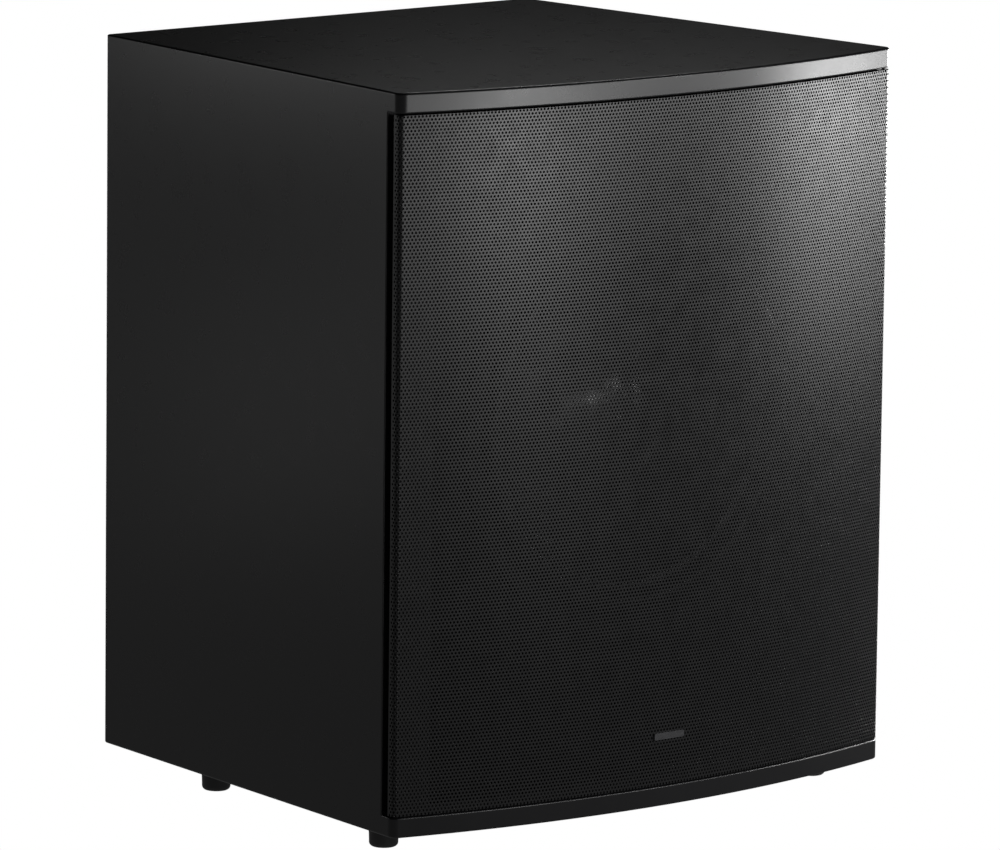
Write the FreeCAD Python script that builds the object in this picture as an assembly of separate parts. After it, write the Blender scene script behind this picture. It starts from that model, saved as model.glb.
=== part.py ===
"""A powered subwoofer: a closed wooden cabinet with a bowed perforated steel grille, a 15-inch driver behind
it and a plate amplifier in the rear panel.

Millimetres. +Z is up and the grille faces -Y. The origin is under the middle of the whole object's box, on
the surface that the feet stand on.
"""
import FreeCAD, Part
import math
import os

from FreeCAD import Vector

# ---- clearances ------------------------------------------------------------------------------------------
FIT = 0.05            # between a fixed piece and the hole or edge that locates it
RUN = 0.06            # radial, between a turning or pushed-in shaft and its hole
SLIP = 0.3            # each side, between a sliding or flexing piece and its neighbours

# ---- cabinet ---------------------------------------------------------------------------------------------
CABINET_WIDTH = 564.0         # across the two front corners
CABINET_BACK_WIDTH = 489.0    # across the rear corners: the sides taper inwards
CABINET_DEPTH = 469.0         # from the front corners to the rear face
CABINET_HEIGHT = 650.0        # without the feet
BOW_RISE = 37.0               # how far the front arc stands ahead of its corners
PANEL_T = 18.0
LIP_REACH = 18.0              # how far the top and bottom panels stand ahead of the side panels
FRONT_CORNER_R = 9.0
REAR_CORNER_R = 3.0
EDGE_R = 2.0                  # round-over of the outer edges
LIP_EDGE_R = 1.5              # round-over of the lips' inner edges
SIDE_EDGE_R = 1.0             # round-over of the side panels' front edges
BAFFLE_T = 24.0
BRACE_T = 18.0
BRACE_SETBACK = 228.0         # from the baffle's front face to the brace
BRACE_RIM = 45.0              # frame around the brace's windows
BRACE_BAR = 60.0              # cross bars between its windows
BATTEN = 20.0                 # square section of the glued corner battens
LINING_T = 12.0
LINING_GAP = 2.0              # between the damping felt's edges and the wood

# ---- feet ------------------------------------------------------------------------------------------------
FOOT_D = 27.0
FOOT_TIP_D = 25.4
FOOT_H = 20.0
FOOT_EDGE_R = 4.0
FOOT_SIDE_INSET = 29.0        # from the side panel's outer face to the foot's axis
FOOT_FRONT = 54.0             # from the front corners to the front feet's axes
FOOT_REAR = 323.0             # from the front corners to the rear feet's axes
FOOT_RECESS_R = 6.0
FOOT_FLOOR_T = 8.0            # rubber left above the screw's recess
FOOT_SCREW_R = 2.5
FOOT_SCREW_BITE = 14.0        # length in the bottom panel
SCREW_HEAD_R = 5.0
SCREW_HEAD_H = 4.0

# ---- grille ----------------------------------------------------------------------------------------------
SHEET_T = 1.2
GRILLE_SETBACK = 1.0          # behind the lips' front edges
GRILLE_SIDE_SETBACK = 1.5     # inside the lips' ends
GRILLE_TOP_GAP = 1.6
GRILLE_BOTTOM_GAP = 0.8
GRILLE_CORNER_R = 4.0
GRILLE_RETURN = 10.0          # the side returns end this far behind the front corners
RIB_H = 9.0
RIB_BACK = 6.0                # the ribs' flat backs lie this far behind the front corners
RIB_GAP = 0.2                 # between the sheet and the ribs glued inside it
POST_W = 32.0
STUD_R = 3.0
STUD_BITE = 4.0               # length in the post
STUD_COLLAR_R = 5.0
STUD_COLLAR_T = 2.0
STUD_REACH = 10.0             # length in the baffle's socket
STUD_INSET = 10.0             # from the baffle's end to the stud's axis
STUD_END_INSET = 40.0         # from the posts' ends to the top and bottom studs
SOCKET_R = 6.0
SOCKET_FLANGE_R = 8.0
SOCKET_FLANGE_T = 1.5
SOCKET_LENGTH = 14.0
BADGE_W = 34.0
BADGE_H = 6.0
BADGE_T = 1.2
BADGE_UP = 45.0               # from the bottom panel's top face to the badge's middle
BADGE_CORNER_R = 1.5

# ---- driver: radii, and depths behind the baffle's front face --------------------------------------------
DRIVER_UP = 338.0             # from the cabinet's underside to the driver's axis
RIM_R = 194.0
RIM_W = 20.0
RIM_LAP = 14.0                # how far the rim reaches out beyond the basket's wall
RIM_T = 8.0
SEAL_T = 2.0
CUT_GAP = 0.5                 # from the basket's wall to the hole through the baffle
WALL_T = 5.0
LEDGE_R = 116.0               # outside of the spider's ledge
LEDGE_DEPTH = 85.0
LEDGE_W = 12.0
BOLT_INSET = 8.0              # from the rim's edge to the screws' axes
DRIVER_SCREWS = 8
DRIVER_SCREW_R = 3.0
DRIVER_SCREW_LENGTH = 26.0
DRIVER_HEAD_R = 5.0
DRIVER_HEAD_H = 6.0
SPOKES = 6
WINDOW_ANGLE = 42.0           # degrees of each opening between the basket's spokes
WINDOW_FROM = 16.0
WINDOW_TO = 74.0
TERMINAL_ANGLE = 30.0         # degrees above +X of the driver's terminals
GASKET_T = 5.0
ROLL_R = 11.0
SURROUND_T = 1.3
SURROUND_FLANGE = 6.0
CONE_LIP = 8.0
CONE_T = 1.1
CONE_DEPTH = 71.0
CAP_R = 75.0
CAP_SEAT = 45.0               # depth of the cone at the dust cap's edge
CAP_RISE = 25.5
CAP_T = 1.2
POLE_R = 37.0
POLE_GAP = 0.6                # from the pole to the coil's former
FORMER_T = 0.6
FORMER_LENGTH = 62.0
COIL_T = 1.1
COIL_LENGTH = 20.0
COIL_GAP = 0.7                # from the winding to the top plate
SPIDER_T = 1.0
SPIDER_WAVES = 5
SPIDER_WAVE_H = 2.2
SPIDER_NECK_W = 7.7           # from the coil's former to the first wave
TOP_PLATE_DEPTH = 104.0
TOP_PLATE_T = 10.0
TOP_PLATE_R = 88.0
MAGNET_R = 95.0
MAGNET_BORE_GAP = 13.0        # from the pole to the magnet's bore
MAGNET_T = 22.0
BACK_PLATE_T = 12.0
VENT_R = 12.0
BOOT_T = 3.0
LEAD_R = 1.0                  # tinsel leads
WIRE_R = 1.6                  # leads from the amplifier
WIRE_OVER_BAR = 34.0          # from the brace's middle bar up to the leads ahead of it

# ---- amplifier: places are measured from the plate's middle, to the right as seen from behind and up ----
PLATE_W = 270.0
PLATE_H = 330.0
PLATE_T = 3.0
PLATE_CORNER_R = 4.0
PLATE_UP = 300.0              # from the cabinet's underside to the plate's middle
PLATE_OVERLAP = 15.0          # how far the plate laps over the rear panel
PLATE_SEAL_T = 1.0
CAN_GAP = 2.0                 # from the can to the cut-out
CAN_T = 1.5
CAN_DEPTH = 110.0
PLATE_SCREW_R = 1.8
PLATE_SCREW_HEAD_R = 3.5
PLATE_SCREW_HEAD_H = 2.2
PLATE_SCREW_LENGTH = 16.0
PLATE_SCREW_INSET = 8.0
KNOB_R = 10.0
KNOB_GAP = 1.0
KNOB_PROUD = 16.0             # from the plate's outer face to the knobs' ends
KNOB_EDGE_R = 1.0
SHAFT_R = 3.0
BUSHING_R = 4.5
POT_R = 12.0
POT_T = 11.0
SINK_W = 200.0
SINK_H = 110.0
SINK_BASE_T = 3.0
FIN_T = 2.0
FIN_H = 11.0
FINS = 20
SINK_PLACE = (0.0, 90.0)
LEVEL_PLACE = (-80.0, 5.0)
CROSSOVER_PLACE = (-30.0, 5.0)
PHASE_PLACE = (16.0, 5.0)
MODE_PLACE = (56.0, 5.0)
LIGHT_PLACE = (92.0, 5.0)
PHONO_PLACES = ((-100.0, -62.0), (-78.0, -62.0))
BALANCED_PLACE = (-32.0, -62.0)
INLET_PLACE = (62.0, -62.0)
ROCKER_PLACE = (62.0, -118.0)
SLOT_W = 13.0
SLOT_H = 5.0
SLIDER_W = 5.0
SLIDER_PROUD = 2.5
PHONO_R = 4.15
PHONO_LENGTH = 8.0
PHONO_FLANGE_R = 7.0
PHONO_FLANGE_T = 1.5
PHONO_BODY_R = 5.0
PHONO_CONTACT_R = 1.6
BALANCED_BODY_R = 12.0
BALANCED_FLANGE = (26.0, 31.0)
BALANCED_FLANGE_T = 2.5
BALANCED_RING_R = 9.6
BALANCED_INSERT_R = 8.0
BALANCED_CONTACT_R = 1.4
BALANCED_CONTACT_CIRCLE_R = 4.2
BALANCED_DEPTH = 14.0
TAB_W = 8.0
TAB_H = 3.0
TAB_UP = 13.2                 # from the balanced socket's axis to its release tab
TAB_PROUD = 2.0
INLET_FLANGE = (50.0, 40.0)
INLET_FLANGE_T = 2.5
INLET_BODY = (30.0, 36.0)
INLET_BODY_DEPTH = 26.0
RECESS = (24.5, 17.0)
RECESS_DEPTH = 18.0
RECESS_UP = 7.0               # from the inlet's middle to the recess's middle
BLADE_W = 2.0
BLADE_H = 4.0
BLADE_SPACING = 14.0          # between the two lower blades
BLADE_REACH = 15.0
DRAWER = (24.0, 8.0)
DRAWER_DEPTH = 20.0
DRAWER_DOWN = 11.0            # from the inlet's middle to the fuse drawer's middle
DRAWER_LIP = 1.0
DRAWER_LIP_T = 1.5
FUSE_R = 2.6
FUSE_LENGTH = 20.0
BEZEL = (21.0, 30.0)
BEZEL_T = 2.0
BEZEL_WALL = 1.8
BEZEL_DEPTH = 14.0
ROCKER_SWEEP_R = 12.6         # the rocker's ends are arcs about its pivot
ROCKER_TILT = 12.0            # degrees each side of level
PIVOT_R = 1.5
PIVOT_DEPTH = 4.0             # the pivot lies this far inside the plate's outer face
LIGHT_R = 2.5
BOARD_T = 1.6
BOARD_DEPTH = 45.0
CAPACITOR_R = 15.0
CAPACITOR_H = 45.0
TOROID_R = 50.0
TOROID_BORE_R = 18.0
TOROID_H = 42.0
TOROID_PLACE = (-50.0, -80.0)

# ---- places that follow from the sizes above --------------------------------------------------------------
TOTAL_DEPTH = BOW_RISE + CABINET_DEPTH + PLATE_SEAL_T + PLATE_T + KNOB_PROUD
Y_CORNER = -TOTAL_DEPTH / 2 + BOW_RISE
Y_REAR = Y_CORNER + CABINET_DEPTH
Y_BAFFLE = Y_CORNER + LIP_REACH
Y_PLATE = Y_REAR + PLATE_SEAL_T + PLATE_T
Z_UNDER = FOOT_H
Z_TOP = FOOT_H + CABINET_HEIGHT
Z_FLOOR = Z_UNDER + PANEL_T
Z_CEILING = Z_TOP - PANEL_T
Z_DRIVER = Z_UNDER + DRIVER_UP
Z_PLATE = Z_UNDER + PLATE_UP
TAPER = math.atan((CABINET_WIDTH - CABINET_BACK_WIDTH) / 2 / CABINET_DEPTH)
BOW_R = ((CABINET_WIDTH / 2) ** 2 + BOW_RISE ** 2) / (2 * BOW_RISE)
BOW_CENTRE_Y = Y_CORNER - BOW_RISE + BOW_R
CUTOUT_W = PLATE_W - 2 * PLATE_OVERLAP
CUTOUT_H = PLATE_H - 2 * PLATE_OVERLAP
RIM_INNER_R = RIM_R - RIM_W
WALL_R = RIM_R - RIM_LAP      # outside of the basket's wall, just behind its rim
CUT_R = WALL_R + CUT_GAP
BOLT_CIRCLE_R = RIM_R - BOLT_INSET
ROLL_INNER_R = RIM_INNER_R - 2 * ROLL_R
COIL_R = POLE_R + POLE_GAP    # inside of the coil's former
MAGNET_BORE_R = POLE_R + MAGNET_BORE_GAP
SPIDER_WAVES_FROM = COIL_R + FORMER_T + 2 * FIT + SPIDER_NECK_W


# ---- helpers ---------------------------------------------------------------------------------------------
def half_width(y, inset=0.0):
    """Half the cabinet's width at y, measured to a face `inset` inside the side panel's outer face."""
    return CABINET_WIDTH / 2 - (y - Y_CORNER) * math.tan(TAPER) - inset / math.cos(TAPER)


def bow_y(x, inset=0.0):
    """y of the arc that lies `inset` behind the lips' front edges."""
    return BOW_CENTRE_Y - math.sqrt((BOW_R - inset) ** 2 - x ** 2)


def face_of(path, place):
    """A flat face. Each entry of the path is a point, or (middle, end) for an arc, that place maps to 3-D."""
    edges = []
    start = last = place(*path[0])
    for step in path[1:]:
        if isinstance(step[0], tuple):
            middle, end = place(*step[0]), place(*step[1])
            edges.append(Part.Arc(last, middle, end).toShape())
        else:
            end = place(*step)
            edges.append(Part.LineSegment(last, end).toShape())
        last = end
    if last.distanceToPoint(start) > 1e-6:
        edges.append(Part.LineSegment(last, start).toShape())
    return Part.Face(Part.Wire(edges))


def plan_prism(path, z0, z1):
    """A solid with an outline drawn from above, from z0 up to z1."""
    return face_of(path, lambda x, y: Vector(x, y, z0)).extrude(Vector(0, 0, z1 - z0))


def block(x0, x1, y0, y1, z0, z1):
    return Part.makeBox(x1 - x0, y1 - y0, z1 - z0, Vector(x0, y0, z0))


def rod_y(x, z, radius, y0, y1):
    """A cylinder along Y."""
    return Part.makeCylinder(radius, y1 - y0, Vector(x, y0, z), Vector(0, 1, 0))


def rod_z(x, y, radius, z0, z1):
    """A cylinder along Z."""
    return Part.makeCylinder(radius, z1 - z0, Vector(x, y, z0))


def edges_where(shape, test):
    """The shape's edges whose every vertex passes the test."""
    return [edge for edge in shape.Edges if all(test(v.Point) for v in edge.Vertexes)]


def uprights(shape, test):
    """The shape's vertical straight edges at points that pass the test."""
    found = []
    for edge in shape.Edges:
        ends = [v.Point for v in edge.Vertexes]
        upright = len(ends) == 2 and math.hypot(ends[0].x - ends[1].x, ends[0].y - ends[1].y) < 1e-6
        if upright and test(ends[0]):
            found.append(edge)
    return found


def at_z(z):
    return lambda point: abs(point.z - z) < 1e-6


def group(solids):
    return Part.makeCompound(solids)


def around_driver(path, angle=360.0, start=0.0):
    """Turns an outline of (radius, depth behind the baffle's face) about the driver's axis."""
    face = face_of(path, lambda r, d: Vector(r, Y_BAFFLE + d, Z_DRIVER))
    axis_point, axis = Vector(0, 0, Z_DRIVER), Vector(0, 1, 0)
    solid = face.revolve(axis_point, axis, angle)
    solid.rotate(axis_point, axis, start)
    return solid


def driver_circle(radius, count):
    """(x, z) of points on a circle about the driver's axis, the first half a step from +X."""
    turns = [math.radians((i + 0.5) * 360.0 / count) for i in range(count)]
    return [(radius * math.cos(a), Z_DRIVER + radius * math.sin(a)) for a in turns]


def on_plate(place):
    """x and z of a place on the amplifier's plate, given to the right as seen from behind and up."""
    return -place[0], Z_PLATE + place[1]


def plate_rod(place, radius, inner, outer):
    """A cylinder through the plate, between two distances outwards from its outer face."""
    x, z = on_plate(place)
    return rod_y(x, z, radius, Y_PLATE + inner, Y_PLATE + outer)


def plate_block(place, width, height, inner, outer):
    """A box centred on a place of the plate, between two distances outwards from its outer face."""
    x, z = on_plate(place)
    return block(x - width / 2, x + width / 2, Y_PLATE + inner, Y_PLATE + outer,
                 z - height / 2, z + height / 2)


def shifted(place, right=0.0, up=0.0):
    return place[0] + right, place[1] + up


def tube(points, radius):
    """A round tube along straight runs joined by tangent arcs as large as the runs allow."""
    points = [Vector(*p) for p in points]
    edges = []
    last = points[0]
    for before, corner, after in zip(points, points[1:], points[2:]):
        into = (corner - before).normalize()
        out = (after - corner).normalize()
        reach = 0.45 * min(corner.distanceToPoint(before), corner.distanceToPoint(after))
        half_turn = into.getAngle(out) / 2
        bend_r = reach / math.tan(half_turn)
        middle = corner + (out - into).normalize() * (bend_r * (1 / math.cos(half_turn) - 1))
        start, end = corner - into * reach, corner + out * reach
        edges.append(Part.LineSegment(last, start).toShape())
        edges.append(Part.Arc(start, middle, end).toShape())
        last = end
    edges.append(Part.LineSegment(last, points[-1]).toShape())
    ring = Part.Wire(Part.makeCircle(radius, points[0], points[1] - points[0]))
    return Part.Wire(edges).makePipeShell([ring], True, False)


# ---- cabinet ---------------------------------------------------------------------------------------------
def lipped_panel(z0, z1, outer_z):
    """The top or bottom panel: a tapered slab with a bowed lip. outer_z is its face away from the cabinet."""
    inner_z = z1 if outer_z == z0 else z0
    front, back = half_width(Y_BAFFLE), half_width(Y_REAR)
    slab = plan_prism([(-front, Y_BAFFLE), (front, Y_BAFFLE), (back, Y_REAR), (-back, Y_REAR)], z0, z1)
    corner = half_width(Y_CORNER)
    lip = plan_prism([(-corner, Y_CORNER), ((0, Y_CORNER - BOW_RISE), (corner, Y_CORNER)),
                      (front, Y_BAFFLE), (-front, Y_BAFFLE)], z0, z1)
    lip = lip.makeFillet(FRONT_CORNER_R, uprights(lip, lambda p: abs(p.y - Y_CORNER) < 1e-6))
    rim = [e for e in edges_where(lip, at_z(inner_z)) if e.BoundBox.YMin < Y_BAFFLE - 1e-3]
    lip = lip.makeFillet(LIP_EDGE_R, rim)
    panel = slab.fuse(lip).removeSplitter()
    panel = panel.makeFillet(REAR_CORNER_R, uprights(panel, lambda p: abs(p.y - Y_REAR) < 1e-6))
    return panel.makeFillet(EDGE_R, edges_where(panel, at_z(outer_z)))


def bottom_panel():
    panel = lipped_panel(Z_UNDER, Z_FLOOR, Z_UNDER)
    for x, y in foot_places():
        panel = panel.cut(rod_z(x, y, FOOT_SCREW_R + FIT, Z_UNDER - 1, Z_UNDER + FOOT_SCREW_BITE + FIT))
    return panel


def top_panel():
    return lipped_panel(Z_CEILING, Z_TOP, Z_TOP)


def side_panel(side):
    """side is -1 for the left panel and 1 for the right one."""
    path = [(side * half_width(y, inset), y) for y, inset in
            ((Y_BAFFLE, 0), (Y_REAR, 0), (Y_REAR, PANEL_T), (Y_BAFFLE, PANEL_T))]
    panel = plan_prism(path, Z_FLOOR, Z_CEILING)
    outer = lambda p: abs(abs(p.x) - half_width(p.y)) < 1e-6
    panel = panel.makeFillet(REAR_CORNER_R, uprights(panel, lambda p: outer(p) and p.y > 0))
    return panel.makeFillet(SIDE_EDGE_R, uprights(panel, lambda p: outer(p) and p.y < 0))


def cross_panel(y0, y1, z0=Z_FLOOR, z1=Z_CEILING, rim=0.0):
    """A board across the cabinet between the side panels, or its outline drawn in by `rim`."""
    inset = PANEL_T + rim
    path = [(-half_width(y0, inset), y0), (half_width(y0, inset), y0),
            (half_width(y1, inset), y1), (-half_width(y1, inset), y1)]
    return plan_prism(path, z0 + rim, z1 - rim)


def rear_panel():
    panel = cross_panel(Y_REAR - PANEL_T, Y_REAR)
    panel = panel.cut(plate_block((0, 0), CUTOUT_W, CUTOUT_H, -2 * PANEL_T, PANEL_T))
    for place in plate_screw_places():
        panel = panel.cut(plate_rod(place, PLATE_SCREW_R + FIT, -PLATE_SCREW_LENGTH - FIT, 0))
    return panel


def front_baffle():
    panel = cross_panel(Y_BAFFLE, Y_BAFFLE + BAFFLE_T)
    panel = panel.cut(rod_y(0, Z_DRIVER, CUT_R, Y_BAFFLE - 1, Y_BAFFLE + BAFFLE_T + 1))
    panel = panel.cut(rod_y(0, Z_DRIVER, RIM_R + SLIP, Y_BAFFLE - 1, Y_BAFFLE + RIM_T + SEAL_T))
    for x, z in driver_circle(BOLT_CIRCLE_R, DRIVER_SCREWS):
        panel = panel.cut(rod_y(x, z, DRIVER_SCREW_R + FIT, Y_BAFFLE, Y_BAFFLE + DRIVER_SCREW_LENGTH))
    for x, z in stud_places():
        panel = panel.cut(rod_y(x, z, SOCKET_R + FIT, Y_BAFFLE - 1, Y_BAFFLE + SOCKET_LENGTH + FIT))
    return panel


def window_brace():
    """A board half-way back with four windows, glued to the panels all round."""
    y0 = Y_BAFFLE + BRACE_SETBACK
    y1 = y0 + BRACE_T
    brace = cross_panel(y0, y1)
    z_middle = (Z_FLOOR + Z_CEILING) / 2
    reach = BRACE_RIM - BRACE_BAR / 2
    for z0, z1 in ((Z_FLOOR, z_middle + reach), (z_middle - reach, Z_CEILING)):
        window = cross_panel(y0 - 1, y1 + 1, z0, z1, BRACE_RIM)
        window = window.cut(block(-BRACE_BAR / 2, BRACE_BAR / 2, y0 - 2, y1 + 2, z0, z1))
        edges = [e for e in window.Edges if e.Length < 2 * BRACE_T]
        brace = brace.cut(window.makeFillet(BRACE_RIM / 3, edges))
    return brace


def corner_battens():
    """Square glue blocks up the four inner corners, behind the baffle and in front of the rear panel."""
    battens = []
    for side in (-1, 1):
        for y in (Y_BAFFLE + BAFFLE_T, Y_REAR - PANEL_T - BATTEN):
            near, far = PANEL_T, PANEL_T + BATTEN
            path = [(side * half_width(at, inset), at) for at, inset in
                    ((y, near), (y + BATTEN, near), (y + BATTEN, far), (y, far))]
            battens.append(plan_prism(path, Z_FLOOR, Z_CEILING))
    return group(battens)


def damping_lining():
    """Felt pads on the side panels, the bottom panel and the top panel, before and behind the brace."""
    y_brace = Y_BAFFLE + BRACE_SETBACK
    stretches = ((Y_BAFFLE + BAFFLE_T + BATTEN, y_brace), (y_brace + BRACE_T, Y_REAR - PANEL_T - BATTEN))
    pads = []
    for y0, y1 in stretches:
        y0, y1 = y0 + LINING_GAP, y1 - LINING_GAP
        for side in (-1, 1):
            near = PANEL_T + LINING_GAP / 2
            far = near + LINING_T
            path = [(side * half_width(y, inset), y) for y, inset in
                    ((y0, near), (y1, near), (y1, far), (y0, far))]
            margin = LINING_T + 2 * LINING_GAP
            pads.append(plan_prism(path, Z_FLOOR + margin, Z_CEILING - margin))
        for z in (Z_FLOOR + LINING_GAP / 2, Z_CEILING - LINING_GAP / 2 - LINING_T):
            inset = PANEL_T + LINING_GAP
            path = [(-half_width(y0, inset), y0), (half_width(y0, inset), y0),
                    (half_width(y1, inset), y1), (-half_width(y1, inset), y1)]
            pads.append(plan_prism(path, z, z + LINING_T))
    return group(pads)


# ---- feet ------------------------------------------------------------------------------------------------
def foot_places():
    places = []
    for setback in (FOOT_FRONT, FOOT_REAR):
        y = Y_CORNER + setback
        for side in (-1, 1):
            places.append((side * half_width(y, FOOT_SIDE_INSET), y))
    return places


def rubber_feet():
    feet = []
    for x, y in foot_places():
        foot = Part.makeCone(FOOT_TIP_D / 2, FOOT_D / 2, FOOT_H, Vector(x, y, 0))
        foot = foot.makeFillet(FOOT_EDGE_R, edges_where(foot, at_z(0)))
        foot = foot.cut(rod_z(x, y, FOOT_RECESS_R, -1, FOOT_H - FOOT_FLOOR_T))
        feet.append(foot.cut(rod_z(x, y, FOOT_SCREW_R + FIT, 0, FOOT_H + 1)))
    return group(feet)


def foot_screws():
    screws = []
    for x, y in foot_places():
        top = FOOT_H - FOOT_FLOOR_T
        head = rod_z(x, y, SCREW_HEAD_R, top - SCREW_HEAD_H, top)
        head = head.makeFillet(SCREW_HEAD_H / 3, edges_where(head, at_z(top - SCREW_HEAD_H)))
        slot = block(x - SCREW_HEAD_R, x + SCREW_HEAD_R, y - 0.6, y + 0.6, 0, top - SCREW_HEAD_H * 0.6)
        screws.append(head.cut(slot).fuse(rod_z(x, y, FOOT_SCREW_R, top, Z_UNDER + FOOT_SCREW_BITE)))
    return group(screws)


# ---- grille ----------------------------------------------------------------------------------------------
def tray_outline(inset, y_back, corner_r, z0, z1):
    """A solid as wide as the grille, with its bowed front and rounded corners drawn in by `inset`."""
    side = GRILLE_SIDE_SETBACK + inset
    front = GRILLE_SETBACK + inset
    corner = half_width(Y_CORNER, side)
    y_arc = bow_y(corner, front)
    back = half_width(y_back, side)
    path = [(-corner, y_arc), ((0, bow_y(0, front)), (corner, y_arc)), (back, y_back), (-back, y_back)]
    solid = plan_prism(path, z0, z1)
    return solid.makeFillet(corner_r, uprights(solid, lambda p: abs(p.y - y_arc) < 1e-6))


GRILLE_Z0 = Z_FLOOR + GRILLE_BOTTOM_GAP
GRILLE_Z1 = Z_CEILING - GRILLE_TOP_GAP
Y_RIB = Y_CORNER + RIB_BACK
RIB_INSET = SHEET_T + RIB_GAP


def perforated_grille():
    """The bowed sheet with its short side returns, open at the top and the bottom."""
    y_end = Y_CORNER + GRILLE_RETURN
    outer = tray_outline(0, y_end, GRILLE_CORNER_R, GRILLE_Z0, GRILLE_Z1)
    inner = tray_outline(SHEET_T, y_end + 1, GRILLE_CORNER_R - SHEET_T, GRILLE_Z0 - 1, GRILLE_Z1 + 1)
    return outer.cut(inner)


def rib(z0):
    return tray_outline(RIB_INSET, Y_RIB, GRILLE_CORNER_R, z0, z0 + RIB_H)


def grille_bottom_rib():
    return rib(GRILLE_Z0 + RIB_GAP)


def grille_top_rib():
    return rib(GRILLE_Z1 - RIB_GAP - RIB_H)


def grille_side_posts():
    z0, z1 = GRILLE_Z0 + RIB_GAP + RIB_H, GRILLE_Z1 - RIB_GAP - RIB_H
    plate = tray_outline(RIB_INSET, Y_RIB, GRILLE_CORNER_R, z0, z1)
    inner = half_width(Y_CORNER, GRILLE_SIDE_SETBACK + RIB_INSET) - POST_W
    plate = plate.cut(block(-inner, inner, Y_CORNER - 2 * BOW_RISE, Y_RIB + 1, z0 - 1, z1 + 1))
    for x, z in stud_places():
        plate = plate.cut(rod_y(x, z, STUD_R + FIT, Y_RIB - STUD_BITE - FIT, Y_RIB + 1))
    return plate


def stud_places():
    """(x, z) of the six studs that hold the grille."""
    x = half_width(Y_BAFFLE, PANEL_T) - STUD_INSET
    low, high = Z_FLOOR + STUD_END_INSET, Z_CEILING - STUD_END_INSET
    return [(side * x, z) for side in (-1, 1) for z in (low, (low + high) / 2, high)]


def grille_studs():
    studs = []
    for x, z in stud_places():
        tip = Y_BAFFLE + STUD_REACH
        shank = rod_y(x, z, STUD_R, Y_RIB - STUD_BITE, tip)
        shank = shank.makeFillet(STUD_R / 2, [e for e in shank.Edges if e.BoundBox.YMin > tip - 1e-3])
        studs.append(shank.fuse(rod_y(x, z, STUD_COLLAR_R, Y_RIB, Y_RIB + STUD_COLLAR_T)))
    return group(studs)


def grille_sockets():
    """Plastic cups pressed into the baffle, which the studs push into."""
    sockets = []
    for x, z in stud_places():
        cup = rod_y(x, z, SOCKET_R, Y_BAFFLE, Y_BAFFLE + SOCKET_LENGTH)
        cup = cup.fuse(rod_y(x, z, SOCKET_FLANGE_R, Y_BAFFLE - SOCKET_FLANGE_T, Y_BAFFLE))
        sockets.append(cup.cut(rod_y(x, z, STUD_R + RUN, Y_BAFFLE - SOCKET_FLANGE_T - 1,
                                     Y_BAFFLE + SOCKET_LENGTH - SOCKET_FLANGE_T)))
    return group(sockets)


def badge():
    """A small blank plate on the grille's middle."""
    z = Z_FLOOR + BADGE_UP
    back = bow_y(0, GRILLE_SETBACK)
    plate = block(-BADGE_W / 2, BADGE_W / 2, back - BADGE_T, back, z - BADGE_H / 2, z + BADGE_H / 2)
    return plate.makeFillet(BADGE_CORNER_R, [e for e in plate.Edges if abs(e.Length - BADGE_T) < 1e-6])


# ---- driver ----------------------------------------------------------------------------------------------
def ring(r0, r1, d0, d1):
    return around_driver([(r0, d0), (r1, d0), (r1, d1), (r0, d1)])


def drilled(solid, radius, d0, d1):
    """The solid with a hole for each of the driver's screws."""
    for x, z in driver_circle(BOLT_CIRCLE_R, DRIVER_SCREWS):
        solid = solid.cut(rod_y(x, z, radius, Y_BAFFLE + d0, Y_BAFFLE + d1))
    return solid


def driver_basket():
    """The cast frame: a rim, spokes, a ledge for the spider and a floor bolted to the top plate."""
    ledge_inner = LEDGE_R - WALL_T + 1 - LEDGE_W
    floor_top = TOP_PLATE_DEPTH - WALL_T + 1
    basket = around_driver([
        (RIM_INNER_R, 0), (RIM_R, 0), (RIM_R, RIM_T), (WALL_R, RIM_T), (LEDGE_R, LEDGE_DEPTH - 3),
        (LEDGE_R, LEDGE_DEPTH + 5), (TOP_PLATE_R + 4, TOP_PLATE_DEPTH), (TOP_PLATE_R - 28, TOP_PLATE_DEPTH),
        (TOP_PLATE_R - 28, floor_top), (TOP_PLATE_R + 1, floor_top), (ledge_inner, LEDGE_DEPTH + 3),
        (ledge_inner, LEDGE_DEPTH), (ledge_inner + LEDGE_W, LEDGE_DEPTH),
        (ledge_inner + LEDGE_W, LEDGE_DEPTH - 4),
        (WALL_R - WALL_T, RIM_T + 1), (RIM_INNER_R, RIM_T + 1)])
    window = [(ledge_inner, WINDOW_FROM), (RIM_R, WINDOW_FROM),
              (RIM_R, WINDOW_TO), (ledge_inner, WINDOW_TO)]
    for i in range(SPOKES):
        start = TERMINAL_ANGLE - WINDOW_ANGLE / 2 + i * 360.0 / SPOKES
        basket = basket.cut(around_driver(window, WINDOW_ANGLE, -start - WINDOW_ANGLE))
    return drilled(basket, DRIVER_SCREW_R + SLIP, -1, RIM_T + 1)


def driver_seal():
    seal = ring(CUT_R + 1, RIM_R - 1, RIM_T, RIM_T + SEAL_T)
    return drilled(seal, DRIVER_SCREW_R + SLIP, RIM_T - 1, RIM_T + SEAL_T + 1)


def front_gasket():
    """The rubber trim ring over the rim, with a hole round each screw's head."""
    inner = ROLL_INNER_R + 2 * ROLL_R + SURROUND_FLANGE + 2 * SLIP
    edge = GASKET_T / 3
    rounding = ((RIM_R - edge * 0.3, -GASKET_T + edge * 0.3), (RIM_R, -GASKET_T + edge))
    trim = around_driver([(inner, 0), (inner, -GASKET_T), (RIM_R - edge, -GASKET_T), rounding, (RIM_R, 0)])
    return drilled(trim, DRIVER_HEAD_R + 1, -GASKET_T - 1, 1)


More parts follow.
